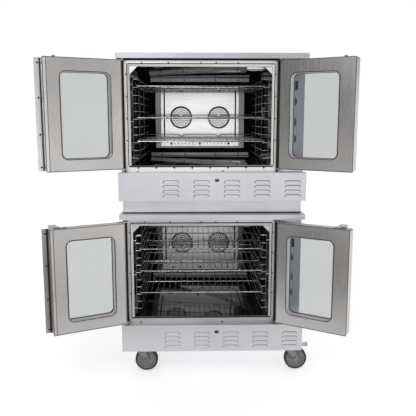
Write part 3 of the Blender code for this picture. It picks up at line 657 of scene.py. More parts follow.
def arch(margin):
    """The mouth's sides and top, grown by a margin."""
    left = CAVITY_LEFT - margin
    right = CAVITY_RIGHT + margin
    top = CAVITY_TOP + margin
    return [(left, CAVITY_FLOOR), (left, top), (right, top), (right, CAVITY_FLOOR)]


def mouth_ring(deck):
    """Sloping retainers along the mouth's sides and top, the sides in darker steel as painted shade, and a round
    gasket beyond their outer edge.
    """
    front = FRAME_FRONT
    section = [(0.0, front), (0.0, front - 0.0015), (RING_WIDTH, front - RING_RAISE), (RING_WIDTH, front)]
    for name, spans, material in (("sides", (0, 2), STEEL_TRIM_SHADED), ("top", (1,), STEEL_FRAME[deck])):
        bm = bmesh.new()
        for span in spans:
            rings = []
            for margin, y in section:
                rings.append([bm.verts.new((x, y, z)) for x, z in arch(margin)[span:span + 2]])
            for ring, following in zip(rings, rings[1:] + rings[:1]):
                bm.faces.new((ring[0], ring[1], following[1], following[0]))
            for end in (0, 1):
                bm.faces.new([ring[end] for ring in rings])
        deck_piece(deck, f"mouth_ring_{name}", bm, material, "stainless", bevel=0.0004)
    bm = bmesh.new()
    gasket = 0.0024
    path = [(x, front - 0.0010, z) for x, z in arch(RING_WIDTH + 0.0022)]
    add_wire(bm, bent(path, 0.008), gasket)
    deck_piece(deck, "mouth_gasket", bm, GASKET, "black_plastic")


def sill_seal(deck):
    """A dark seal under the mouth. The upper one has a row of round nubs below it."""
    front = FRAME_FRONT
    low = (CAVITY_LEFT - RING_WIDTH, front - 0.005, CAVITY_FLOOR - 0.008)
    bm = bmesh.new()
    add_box(bm, low, (CAVITY_RIGHT + RING_WIDTH, front + 0.001, CAVITY_FLOOR - GAP))
    if deck == "upper":
        nubs = 8
        pitch = 0.0935
        radius = 0.0052
        for i in range(nubs):
            place = (CAVITY_X + (i - (nubs - 1) / 2) * pitch, CAVITY_FLOOR - 0.0105)
            add_disc(bm, "Y", place, radius, front, front - 0.0058, 0.0012)
    deck_piece(deck, "sill_seal", bm, GASKET, "black_plastic", bevel=0.0008)


def frame_shade_strips(deck):
    """Black strips on the frame, under the cover and beside each door's heel: painted shade in these gaps."""
    low = PANEL_TOP + GAP
    top = DECK_TOP - COVER_LIP
    joined = top - 0.0070
    strips = [
        ((-0.462, joined), (0.359, top + 0.004)),
        ((-0.462, low), (-0.4500, joined - GAP)),
        ((0.3325, low), (0.3465, joined - GAP)),
    ]
    bm = bmesh.new()
    for (x0, z0), (x1, z1) in strips:
        add_box(bm, (x0, FRAME_FRONT - 0.0020, z0), (x1, FRAME_FRONT + 0.0005, z1))
    deck_piece(deck, "frame_shade_strips", bm, SHADE_STRIP_BLACK, "black_plastic", bevel=0.0006)


def frame_screws(deck):
    """Screw heads with hexagon drives on the stiles, the top rail and the bottom rail."""
    head = 0.0036
    drive = 0.0019
    clear = RING_WIDTH + 0.0065
    places = []
    for i in range(4):
        z = CAVITY_TOP - 0.038 - i * 0.1115
        places.append((CAVITY_LEFT - clear, z))
        places.append((CAVITY_RIGHT + clear, z))
    for x in (-0.300, -0.165, 0.0, 0.077, 0.190):
        places.append((CAVITY_X + x, CAVITY_TOP + RING_WIDTH + 0.0075))
    for x in (-0.330, 0.113):
        places.append((CAVITY_X + x, PANEL_TOP + 0.004))
    bm = bmesh.new()
    for place in places:
        add_disc(bm, "Y", place, head, FRAME_FRONT + 0.0005, FRAME_FRONT - 0.0026, 0.0010)
        add_disc(bm, "Y", place, drive, FRAME_FRONT - 0.0020, FRAME_FRONT - 0.0032, 0.0003, 6)
    deck_piece(deck, "frame_screws", bm, FASTENER, "stainless")


def liner(deck):
    """The enamelled chamber's floor, sides and ceiling, with tight corners, open at both ends."""
    bm = bmesh.new()
    add_box(bm, (CAVITY_LEFT, FRAME_REAR, CAVITY_FLOOR), (CAVITY_RIGHT, CAVITY_REAR, CAVITY_TOP))
    bmesh.ops.recalc_face_normals(bm, faces=bm.faces)
    ends = [face for face in bm.faces if abs(face.normal.y) > 0.9]
    bmesh.ops.delete(bm, geom=ends, context="FACES")
    corners = [edge for edge in bm.edges if len(edge.link_faces) == 2]
    bmesh.ops.bevel(bm, geom=corners, offset=0.004, segments=3, affect="EDGES", profile=0.5)
    bmesh.ops.recalc_face_normals(bm, faces=bm.faces)
    bmesh.ops.solidify(bm, geom=list(bm.faces), thickness=-SHEET)
    deck_piece(deck, "liner", bm, ENAMEL_BLACK, "enamel", replaces=(f"{deck}_cavity",))


def rear_wall(deck):
    """The chamber's rear wall in near-black matte enamel as painted shade behind the baffle, pierced for the fans'
    shafts.
    """
    outer = rectangle((CAVITY_LEFT, CAVITY_FLOOR), (CAVITY_RIGHT, CAVITY_TOP))
    holes = [circle(centre, SHAFT_HOLE) for centre in INLET_CENTRES]
    bm = bmesh.new()
    add_plate(bm, outer, holes, "Y", CAVITY_REAR + GAP, CAVITY_REAR + SHEET)
    deck_piece(deck, "rear_wall", bm, ENAMEL_REAR_SHADE, "enamel")


def rear_strips(deck):
    """Strips that close the liner's rear wall to its ceiling and floor, and their bolts."""
    half = 0.320
    front = CAVITY_REAR - 0.006
    spans = ((CAVITY_TOP - 0.027, CAVITY_TOP - 0.004), (CAVITY_FLOOR + 0.003, CAVITY_FLOOR + 0.019))
    bm = bmesh.new()
    for low, high in spans:
        add_box(bm, (CAVITY_X - half, front, low), (CAVITY_X + half, CAVITY_REAR - 0.0005, high))
    deck_piece(deck, "rear_strips", bm, ENAMEL_GREY, "enamel", bevel=0.001)
    bm = bmesh.new()
    for x in (-0.250, -0.100, 0.100, 0.250):
        for z in (CAVITY_TOP - 0.016, CAVITY_FLOOR + 0.011):
            add_disc(bm, "Y", (CAVITY_X + x, z), 0.0046, front + 0.001, front - 0.004, 0.0012, 12)
    deck_piece(deck, "rear_strip_bolts", bm, FASTENER, "stainless")


# The fan baffle.


def add_perforated_band(bm, centre, inner, outer, count, reach, y, thickness):
    """A ring of cells round a centre, each with a hole: reach is the hole's half size along and across."""
    middle = (inner + outer) / 2
    half_r = (outer - inner) / 2
    half_a = math.pi / count
    square = []
    for side in range(4):
        for part in range(3):
            share = -1 + 2 * part / 3
            square.append([(1, share), (-share, 1), (-1, -share), (share, -1)][side])
    for cell in range(count):
        angle = 2 * math.pi * (cell + 0.5) / count
        rims = []
        for i, (across, around) in enumerate(square):
            turn = math.radians(-45 + 30 * i)
            edge = (middle + across * half_r, angle + around * half_a)
            hole = (middle + reach[0] * math.cos(turn), angle + reach[1] * math.sin(turn) / middle)
            rims.append((edge, hole))
        layers = []
        for depth in (y, y + thickness):
            layer = []
            for pair in rims:
                spots = [(centre[0] + r * math.cos(t), depth, centre[1] + r * math.sin(t)) for r, t in pair]
                layer.append([bm.verts.new(spot) for spot in spots])
            layers.append(layer)
        for i in range(len(rims)):
            j = (i + 1) % len(rims)
            for layer in layers:
                bm.faces.new((layer[i][0], layer[j][0], layer[j][1], layer[i][1]))
            for side in (1, 0):
                bm.faces.new((layers[0][i][side], layers[0][j][side], layers[1][j][side], layers[1][i][side]))


def baffle_plate(deck):
    """The plate in front of the fans: two grooves, three round holes and a row of slanted slots."""
    (left, front, bottom), (right, rear, top) = deck_box(deck, "fan_baffle")
    strip = 0.0165
    groove = 0.0085
    slot_z = bottom + 0.016
    half_x, half_z = 0.0026, 0.0044
    holes = [circle(centre, INLET) for centre in INLET_CENTRES]
    for x in (left + strip, right - strip - groove):
        holes.append(rounded((x, bottom + 0.036), (x + groove, top - 0.012), 0.0028, 3))
    for x in (-0.184, 0.0, 0.184):
        holes.append(circle((CAVITY_X + x, slot_z), 0.0074, 16))
    for side in (-1, 1):
        for i in range(6):
            x = CAVITY_X + side * (0.046 + i * 0.0233)
            slot = rounded((x - half_x, slot_z - half_z), (x + half_x, slot_z + half_z), 0.0024, 3)
            holes.append([(a + (b - slot_z) * 0.5 * side, b) for a, b in slot])
    bm = bmesh.new()
    add_plate(bm, rectangle((left, bottom), (right, top)), holes, "Y", front, front + BAFFLE_SHEET)
    for x in (left, right - strip):
        add_box(bm, (x, front - 0.0025, bottom), (x + strip, front - 0.0001, top))
    for x in (left, right - BAFFLE_SHEET):
        add_box(bm, (x, front + BAFFLE_SHEET, bottom), (x + BAFFLE_SHEET, rear, top))
    replaced = (f"{deck}_fan_baffle",)
    deck_piece(deck, "baffle_plate", bm, STEEL_BAFFLE[deck], "bright_sheet", replaces=replaced)


def baffle_inlets(deck):
    """Two perforated discs that bulge forwards, in rings of holes."""
    front = deck_box(deck, "fan_baffle")[0][1]
    rear = front + BAFFLE_SHEET
    bulge = 0.006
    shoulder = 0.012
    hole_pitch = 0.0140
    edge = 0.0700
    hub = 0.0025
    band = (edge - hub) / 5
    bm = bmesh.new()
    for centre in INLET_CENTRES:
        for number in range(5):
            outer = edge - number * band
            inner = outer - band
            count = max(4, round(math.pi * (outer + inner) / hole_pitch))
            reach = (0.0048, 0.0048)
            if number == 0:
                count = 30
                reach = (0.0054, 0.0046)
            add_perforated_band(bm, centre, inner, outer, count, reach, front, BAFFLE_SHEET)
        for inner, outer in ((edge, INLET), (0, hub)):
            profile = [(inner, front), (outer, front), (outer, rear), (inner, rear)]
            add_turned(bm, profile, "Y", centre)
    for vert in bm.verts:
        reach = min(math.hypot(vert.co.x - x, vert.co.z - z) for x, z in INLET_CENTRES)
        share = min(1.0, max(0.0, (INLET - reach) / shoulder))
        vert.co.y -= bulge * share * share * (3 - 2 * share)
    deck_piece(deck, "baffle_inlets", bm, STEEL_BAFFLE[deck], "bright_sheet", angle=50.0)


def baffle_surround(deck):
    """An enamelled border behind the baffle's edges: pale grey on the upper deck, near black on the lower as
    painted shade.
    """
    (left, front, bottom), (right, _, top) = deck_box(deck, "fan_baffle")
    edge = 0.036
    lap = 0.010
    outer = rectangle((left - edge, bottom - 0.012), (right + edge, top + 0.010))
    hole = rectangle((left + lap, bottom + lap), (right - lap, top - lap))
    bm = bmesh.new()
    add_plate(bm, outer, [hole], "Y", front + 0.012, front + 0.014)
    deck_piece(deck, "baffle_surround", bm, ENAMEL_SURROUND[deck], "enamel", bevel=0.0006)


# Racks and guides.


def rack_guide(deck, side):
    """Round wires: three uprights, and rungs that step in from the front one, run back and step out again."""
    sign = -1 if side == "left" else 1
    bm = bmesh.new()
    low = RUNG_FIRST - RUNG_PITCH / 2 - 0.010
    top = RUNG_FIRST + (RUNGS - 1) * RUNG_PITCH
    wall = CAVITY_X + sign * GUIDE_X
    inner = CAVITY_X + sign * RUNG_X
    front = RACK_FRONT + 0.003
    rear = RACK_REAR - 0.003
    for y in (front, (front + rear) / 2, rear):
        path = [(inner, y, top), (wall, y, top), (wall, y, low)]
        add_wire(bm, bent(path, 0.010), GUIDE_WIRE)
    for level in range(RUNGS):
        z = RUNG_FIRST + level * RUNG_PITCH - 0.003
        near = front - 2 * GUIDE_WIRE
        far = rear + 2 * GUIDE_WIRE
        path = [(wall, near, z), (inner, near, z), (inner, far, z), (wall, far, z)]
        add_wire(bm, bent(path, 0.009), GUIDE_WIRE)
    for y in (front, rear):
        for z in (low + 0.030, (low + top) / 2, top - 0.030):
            end = CAVITY_X + sign * (CAVITY_HALF - 0.0005)
            add_wire(bm, [(wall, y, z), (end, y, z)], 0.0035)
    replaced = (f"{deck}_rack_guide_{side}",)
    deck_piece(deck, f"{side}_guide_wires", bm, GUIDE_METAL, "chrome", replaces=replaced)


def rack(deck, name):
    """A wire rack: a rim, cross wires, rods that bend down over the front, and a stop rail along the back."""
    node = f"{deck}_rack_{name}"
    z = deck_box(deck, f"rack_{name}")[0][2] + RIM_WIRE
    left = CAVITY_X - RACK_HALF
    right = CAVITY_X + RACK_HALF
    front = RACK_FRONT + RIM_WIRE
    rear = RACK_REAR - RIM_WIRE
    corners = [(CAVITY_X, front, z), (right, front, z), (right, rear, z), (left, rear, z), (left, front, z)]
    bm = bmesh.new()
    add_wire(bm, bent(corners + [corners[0]], 0.012)[:-1], RIM_WIRE, closed=True, sides=10)
    for share in (1 / 3, 2 / 3):
        y = front + share * (rear - front)
        add_wire(bm, [(left, y, z), (right, y, z)], CROSS_WIRE)
    rods = z + RIM_WIRE + ROD_WIRE * 0.7
    ends = z - 0.001
    spacing = 2 * RACK_HALF / (RACK_RODS + 1)
    for i in range(RACK_RODS):
        x = left + (i + 1) * spacing
        path = [
            (x, front - RIM_WIRE - ROD_WIRE * 0.5, ends),
            (x, front - RIM_WIRE * 0.6, rods),
            (x, rear + RIM_WIRE * 0.6, rods),
            (x, rear + RIM_WIRE + ROD_WIRE * 0.5, ends),
        ]
        add_wire(bm, bent(path, 0.004, 3), ROD_WIRE, sides=6)
    for side in (-1, 1):
        x = CAVITY_X + side * (RACK_HALF - 0.0075)
        add_wire(bm, [(x, front, rods), (x, rear, rods)], ROD_WIRE, sides=6)
    stop = z + 0.018
    dip = 0.118
    lean = 0.016
    inset = 0.004
    path = [(left + inset, rear, z), (left + inset, rear, stop)]
    for x in (-dip, dip):
        path.append((CAVITY_X + x - lean, rear, stop))
        path.append((CAVITY_X + x, rear, z + 0.002))
        path.append((CAVITY_X + x + lean, rear, stop))
    path += [(right - inset, rear, stop), (right - inset, rear, z)]
    add_wire(bm, bent(path, 0.006), CROSS_WIRE)
    body = NODE_BODY[node]
    deck_piece(deck, f"rack_{name}_wires", bm, CHROME_WIRE, "chrome", body, replaces=(node,))


# The louvred service panel.


def louvre_hood(hoods, crease_shades, centre, low):
    """A pressed hood, open below, and a thin dark tube along the crease where it leaves the sheet, as painted
    shade.
    """
    half = 0.0415
    tall = 0.0130
    reach = 0.0036
    turn_in = 0.0120
    columns = 24
    rows = 10
    sheet_y = -0.0002
    grid = []
    crest = []
    for i in range(columns + 1):
        x = -half + 2 * half * i / columns
        over = max(0.0, abs(x) - (half - turn_in)) / turn_in
        share = math.sqrt(max(0.0, 1 - over * over)) * 0.98 + 0.02
        line = []
        for j in range(rows + 1):
            down = (j / rows) ** 1.4
            rise = min(1.0, down / 0.35)
            y = -reach * share * math.sin(math.pi / 2 * rise)
            line.append((centre + x, y, low + tall * share * (1 - down)))
        grid.append(line)
        crest.append((centre + x, sheet_y, low + tall * share))
    add_sheet(hoods, grid, 0.0010, (0, 1, 0))
    crest = [(centre - half, sheet_y, low)] + crest + [(centre + half, sheet_y, low)]
    # Painted shade: a thin dark tube along the hood's crest.
    add_wire(crease_shades, crest, 0.0011, sides=6)


def louvre_hoods(deck):
    """Five columns of four hoods over the service panel's slots."""
    hoods = bmesh.new()
    crease_shades = bmesh.new()
    for column in range(5):
        for row in range(4):
            louvre_hood(hoods, crease_shades, -0.215 + column * 0.158, 0.0270 + row * 0.0245 - 0.0065)
    deck_piece(deck, "louvre_hoods", hoods, STEEL_PANEL, "stainless", angle=60.0)
    deck_piece(deck, "louvre_crease_shades", crease_shades, STEEL_HOOD_CREASE_SHADE[deck], "stainless")


def panel_lock(deck):
    """The quarter-turn fastener near the top of the service panel: a rim, a face and a slot."""
    x, z = 0.023, 0.108

    def oval(half, tall, radius, steps=8):
        return rounded((x - half, z - tall), (x + half, z + tall), radius, steps)

    bm = bmesh.new()
    slot = oval(0.0065, 0.0012, 0.0010, 3)
    add_plate(bm, oval(0.0115, 0.0068, 0.0066), [slot], "Y", -0.0030, 0.0005)
    add_plate(bm, oval(0.0100, 0.0055, 0.0050), [], "Y", -0.0012, 0.0005)
    deck_piece(deck, "panel_lock", bm, FASTENER, "stainless", bevel=0.0006)


# Inside fittings.


def oven_lamp(deck):
    """A lamp under the ceiling at the right front: a steel tray round a lens."""
    low = (CAVITY_X + 0.236, 0.105)
    high = (CAVITY_X + 0.344, 0.215)
    rim = 0.012
    tray = CAVITY_TOP - 0.007
    lens_edge = rounded((low[0] + rim, low[1] + rim), (high[0] - rim, high[1] - rim), 0.008)
    bm = bmesh.new()
    add_plate(bm, rounded(low, high, 0.008), [lens_edge], "Z", tray, CAVITY_TOP - 0.0005)
    deck_piece(deck, "lamp_tray", bm, STEEL_BAFFLE[deck], "bright_sheet", bevel=0.001)
    bm = bmesh.new()
    add_plate(bm, lens_edge, [], "Z", tray + 0.0015, CAVITY_TOP - 0.001)
    deck_piece(deck, "lamp_lens", bm, LAMP_LENS, "glass", bevel=0.0015)


def sensing_bulb(deck):
    """The thermostat's bulb on the right wall, in two clips."""
    x = CAVITY_RIGHT - 0.0045
    y = 0.400
    profile = [(0, 0.425), (0.0022, 0.426), (0.0030, 0.429), (0.0030, 0.486), (0.0022, 0.489), (0, 0.490)]
    bm = bmesh.new()
    add_turned(bm, profile, "Z", (x, y), 16)
    for z in (0.440, 0.474):
        add_box(bm, (x - 0.0036, y - 0.009, z), (x + 0.0040, y + 0.009, z + 0.006))
    deck_piece(deck, "sensing_bulb", bm, BRIGHT_PIN, "stainless", bevel=0.0006)


# Controls.


def switch_bezel(deck):
    face = deck_box(deck, "control_panel")[0][1]
    low, high = deck_box(deck, "power_switch")
    gap = 0.001
    lip = 0.005
    inner = rectangle((low[0] - gap, low[2] - gap), (high[0] + gap, high[2] + gap))
    outer = rounded((low[0] - lip, low[2] - lip), (high[0] + lip, high[2] + lip), 0.003)
    bm = bmesh.new()
    add_plate(bm, outer, [inner], "Y", face - 0.0022, face)
    deck_piece(deck, "switch_bezel", bm, BLACK_PLASTIC, "black_plastic", bevel=0.0007)


def dials(deck):
    """A ring with plain ticks behind each knob, and the knobs' pointers."""
    face = deck_box(deck, "control_panel")[0][1]
    rings = bmesh.new()
    ticks = bmesh.new()
    for name in KNOBS:
        low, high = deck_box(deck, name)
        x = (low[0] + high[0]) / 2
        z = (low[2] + high[2]) / 2
        radius = (high[0] - low[0]) / 2
        inner = radius + 0.0015
        outer = radius + 0.0075
        profile = [(inner, face), (inner, face - 0.0004), (outer, face - 0.0004), (outer, face)]
        add_turned(rings, profile, "Y", (x, z))
        tick = rectangle((-0.0005, radius + 0.0025), (0.0005, radius + 0.0065))
        for i in range(11):
            turn = Matrix.Rotation(math.radians(-150 + 30 * i), 3, "Y")
            spots = [turn @ Vector((a, 0, b)) for a, b in tick]
            outline = [(x + spot.x, z + spot.z) for spot in spots]
            add_plate(ticks, outline, [], "Y", face - 0.0007, face - 0.0003)
        near = low[1]
        half = 0.0009
        tip = z + radius - 0.004
        pointer = bmesh.new()
        add_box(pointer, (x - half, near - 0.0003, z + 0.002), (x + half, near + 0.001, tip))
        body = NODE_BODY[f"{deck}_{name}"]
        deck_piece(deck, f"{name}_pointer", pointer, PALE_MARK, "black_plastic", body, bevel=0.0002)
    deck_piece(deck, "dial_rings", rings, BLACK_PLASTIC, "black_plastic")
    deck_piece(deck, "dial_ticks", ticks, PALE_MARK, "black_plastic")


# Doors.


def grown_window(margin, radius):
    """The window's outline, grown by a margin."""
    (left, low), (right, high) = WINDOW
    return rounded((left - margin, low - margin), (right + margin, high + margin), radius)


def window_rims(deck, side):
    """A slim raised frame round the window on both faces of a door, and a dark seal round it."""
    section = (
        (0.0010, 0.0003), (0.0008, 0.0020), (0.0000, 0.0024), (-0.0012, 0.0016),
        (-0.0016, -0.0040), (-0.0006, -0.0040), (-0.0006, 0.0003),
    )
    faces = ((DOOR_INNER, 1), (DOOR_OUTER, -1))
    bm = bmesh.new()
    for y, out in faces:
        rings = []
        for grow, rise in section:
            loop = grown_window(grow, WINDOW_CORNER + grow)
            rings.append([bm.verts.new((a, y + out * rise, b)) for a, b in loop])
        join_rings(bm, rings + rings[:1])
    door_piece(deck, side, "window_rims", bm, STEEL_RIM, "stainless")
    reach = 0.0032
    seal_wire = 0.0020
    bm = bmesh.new()
    for y, out in faces:
        path = [(a, y + 0.0004 * out, b) for a, b in grown_window(reach, WINDOW_CORNER + reach)]
        add_wire(bm, path, seal_wire, closed=True)
    door_piece(deck, side, "window_seals", bm, SEAL_BROWN, "black_plastic")


def door_panes(deck, side):
    """Two panes of glass with a pale spacer between their edges."""
    lap = 0.007
    glass = 0.004
    outline = grown_window(lap, WINDOW_CORNER)
    bm = bmesh.new()
    for start in (DOOR_OUTER + 0.0050, DOOR_INNER - 0.0050 - glass):
        add_plate(bm, outline, [], "Y", start, start + glass)
    replaced = (f"{deck}_{side}_door_glass",)
    door_piece(deck, side, "panes", bm, GLASS, "glass", replaces=replaced, bevel=0.0006)
    bm = bmesh.new()
    inner = grown_window(lap / 4, WINDOW_CORNER)
    outer = grown_window(lap * 0.9, WINDOW_CORNER)
    add_plate(bm, outer, [inner], "Y", DOOR_OUTER + 0.0091, DOOR_INNER - 0.0091)
    door_piece(deck, side, "pane_spacer", bm, SPACER_BAR, "aluminium")


def door_border(deck, side):
    """Dark strips round the inner sheet as painted shade along its folds, and along the left door's free edge a
    bright strip between two.
    """
    near = DOOR_INNER - 0.0005
    far = DOOR_INNER + 0.0008
    left = DOOR_HEEL + 0.0010
    right = DOOR_TOE - 0.0008
    low = DOOR_LOW + 0.0010
    top = DOOR_TOP - 0.0010
    strips = [
        ((left, low), (left + 0.0022, top)),
        ((left, low), (right, low + 0.0036)),
        ((left, top - 0.0030), (right, top)),
        ((right - 0.0026, low), (right, top)),
    ]
    if side == "left":
        strips.append(((right - 0.0190, low), (right - 0.0160, top)))
        bm = bmesh.new()
        add_box(bm, (right - 0.0155, near, low + 0.004), (right - 0.0030, far + 0.0003, top - 0.0034))
        door_piece(deck, side, "edge_fold", bm, STEEL_FRAME[deck], "stainless", bevel=0.0005)
    # Painted shade: thin dark strips along the folds.
    bm = bmesh.new()
    for depth, ((x0, z0), (x1, z1)) in enumerate(strips):
        add_box(bm, (x0, near, z0), (x1, far + depth * 0.00005, z1))
    door_piece(deck, side, "edge_crease_shades", bm, STEEL_CREASE_SHADE, "stainless")


def astragal_trim(deck):
    """Four pan-head screws through the strip beyond the left door's edge, and dark strips behind them as painted
    shade.
    """
    outer = DOOR_OUTER - 0.0075
    inner = DOOR_OUTER - 0.0002
    bm = bmesh.new()
    for share in (0.05, 0.35, 0.67, 0.96):
        z = DOOR_TOP - share * (DOOR_TOP - DOOR_LOW)
        add_disc(bm, "Y", (DOOR_TOE + 0.0110, z), 0.0050, outer, inner, 0.0005, 16)
    door_piece(deck, "left", "astragal_screws", bm, FASTENER, "stainless")
    low = DOOR_LOW + 0.004
    top = DOOR_TOP - 0.004
    bm = bmesh.new()
    add_box(bm, (DOOR_TOE + 0.0003, inner - 0.0007, low), (DOOR_TOE + 0.0027, inner + 0.0110, top))
    if deck == "lower":
        add_box(bm, (DOOR_TOE + 0.0033, inner - 0.0006, low), (DOOR_TOE + 0.0058, inner - 0.0001, top))
    door_piece(deck, "left", "astragal_shade_strip", bm, SHADE_STRIP_BLACK, "black_plastic", bevel=0.0005)


def door_catch(deck, side):
    """The catch on top of a door, near its free edge: a roller on the upper deck, a strike on the lower."""
    x = DOOR_TOE - 0.060
    y = (DOOR_INNER + DOOR_OUTER) / 2
    base = DOOR_TOP - 0.001
    bm = bmesh.new()
    if deck == "upper":
        add_box(bm, (x - 0.011, y - 0.009, base), (x + 0.011, y + 0.009, DOOR_TOP + 0.0015))
        add_disc(bm, "Z", (x, y), 0.0075, DOOR_TOP + 0.001, DOOR_TOP + 0.0085, 0.0012)
    else:
        add_box(bm, (x - 0.030, y - 0.014, base), (x + 0.030, y + 0.014, DOOR_TOP + 0.0030))
        add_box(bm, (x + 0.006, y - 0.010, DOOR_TOP + 0.002), (x + 0.030, y + 0.010, DOOR_TOP + 0.0080))
        add_disc(bm, "Z", (x - 0.018, y), 0.0050, DOOR_TOP + 0.002, DOOR_TOP + 0.0060, 0.0010)
    door_piece(deck, side, "catch", bm, ZINC, "stainless", bevel=0.0006)


def hinge_pins(deck):
    """Pins that carry each door, from the service panel and from under the cover."""
    spans = (
        (PANEL_TOP, DOOR_LOW - HINGE_TAB - GAP),
        (DECK_TOP - COVER_LIP, DOOR_TOP + HINGE_TAB + GAP),
    )
    bm = bmesh.new()
    for side in SIDES:
        x, y, _ = JOINTS[f"{deck}_{side}_door_hinge"]["pos_m"]
        centre = (x - BODY_X, y - FRONT_Y)
        for start, end in spans:
            step = 0.0035 if end > start else -0.0035
            add_disc(bm, "Z", centre, 0.0120, start, start + step, 0.0010)
            add_disc(bm, "Z", centre, 0.0065, start, end, 0.0005)
            add_disc(bm, "Z", centre, 0.0095, end - step / 2, end, 0.0006)
    deck_piece(deck, "hinge_pins", bm, BRIGHT_PIN, "stainless")


def spacer_shade_strip():
    """A dark strip where the spacer stands on the lower deck's cover: a painted shadow at its foot."""
    low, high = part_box("stacking_spacer")
    reach = 0.0030
    bm = bmesh.new()
    add_box(bm, (low.x, low.y - reach, low.z), (high.x, low.y - GAP, low.z + 0.0045))
    make_piece("stacking_spacer_shade_strip", bm, SHADE_STRIP_BLACK, "body", "black_plastic", bevel=0.0006)


# Casters.


def caster_wheel(name):
    """A rounded tread on a dished rim."""
    wheel = f"{name}_caster_wheel"
    low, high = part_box(wheel)
    centre = ((low.x + high.x) / 2, (low.z + high.z) / 2)
    middle = (low.y + high.y) / 2
    hub_half = (high.y - low.y) / 2
    radius = centre[1]
    tread = [(radius * share, half) for share, half in TREAD_PROFILE]
    rim = [(0.0065, hub_half), (0.0150, hub_half), (0.0165, hub_half - 0.0015)] + RIM_PROFILE
    tread_loop = [(r, -h) for r, h in reversed(tread)] + tread[1:]
    rim_loop = rim + [(r, -h) for r, h in reversed(rim)]
    bm = bmesh.new()
    add_turned(bm, [(r, middle + h) for r, h in tread_loop], "Y", centre, 64)
    make_piece(f"{name}_caster_tread", bm, TREAD, wheel, "rubber")
    bm = bmesh.new()
    add_turned(bm, [(r, middle + h) for r, h in rim_loop], "Y", centre, 64)
    make_piece(f"{name}_caster_rim", bm, WHEEL_GREY, wheel, "rubber", replaces=(wheel,))
    return centre, middle


def caster(name):
    """A wheel, its fork, the axle's nuts, the swivel's race, and the plate that is bolted to the body."""
    centre, middle = caster_wheel(name)
    fork = f"{name}_caster_fork"
    softened(fork, ZINC, 0.0007)
    low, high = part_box(fork)
    x, y, _ = JOINTS[f"{name}_caster_swivel"]["pos_m"]
    z = BASE["lower"]
    bm = bmesh.new()
    for start, end in ((middle - 0.0225, low.y - 0.004), (middle + 0.0225, high.y + 0.004)):
        add_disc(bm, "Y", centre, 0.0125, start, start + (end - start) * 0.3, 0.0004, 32)
        add_disc(bm, "Y", centre, 0.0095, start, end, 0.0015, 6)
    add_turned(bm, [(radius, z - drop) for radius, drop in RACE_PROFILE], "Z", (x, y))
    make_piece(f"{name}_caster_nuts", bm, ZINC, fork, "zinc")
    bm = bmesh.new()
    outline = rounded((x - 0.048, y - 0.042), (x + 0.048, y + 0.042), 0.006)
    add_plate(bm, outline, [], "Z", z - 0.0045, z - 0.0003)
    for a in (-0.038, 0.038):
        for b in (-0.032, 0.032):
            add_disc(bm, "Z", (x + a, y + b), 0.0075, z - 0.004, z - 0.0095, 0.0010, 6)
    make_piece(f"{name}_caster_plate", bm, ZINC, "body", "zinc", bevel=0.0005)


# The whole object.


def dress_deck(deck):
    """All of a deck's pieces, and finishes for its CAD nodes."""
    face_frame(deck)
    mouth_ring(deck)
    sill_seal(deck)
    frame_shade_strips(deck)
    frame_screws(deck)
    liner(deck)
    rear_wall(deck)
    rear_strips(deck)
    baffle_plate(deck)
    baffle_inlets(deck)
    baffle_surround(deck)
    for name in ("top", "middle", "bottom"):
        rack(deck, name)
    louvre_hoods(deck)
    panel_lock(deck)
    oven_lamp(deck)
    sensing_bulb(deck)
    switch_bezel(deck)
    dials(deck)
    for side in SIDES:
        rack_guide(deck, side)
        softened(f"{deck}_{side}_door_shell", STEEL_DOOR, 0.0008)
        window_rims(deck, side)
        door_panes(deck, side)
        door_catch(deck, side)
        door_border(deck, side)
        softened(f"{deck}_{side}_door_handle", STEEL_PANEL, 0.005)
        paint(f"{deck}_fan_{side}", ALUMINIUM)
    astragal_trim(deck)
    hinge_pins(deck)
    sheets = (
        ("astragal", STEEL_ASTRAGAL[deck], 0.0005),
        ("casing", STEEL_PANEL, 0.0007),
        ("top_cover", STEEL_COVER[deck], 0.0009),
        ("louvre_panel", STEEL_PANEL, 0.0008),
        ("control_panel", STEEL_PANEL, 0.0008),
    )
    for part, material, radius in sheets:
        softened(f"{deck}_{part}", material, radius)
    paint(f"{deck}_fan_motors", MOTOR_PAINT)
    softened(f"{deck}_power_switch", BLACK_PLASTIC, 0.0010)
    for name in KNOBS:
        softened(f"{deck}_{name}", BLACK_PLASTIC, 0.0010)


# The studio.


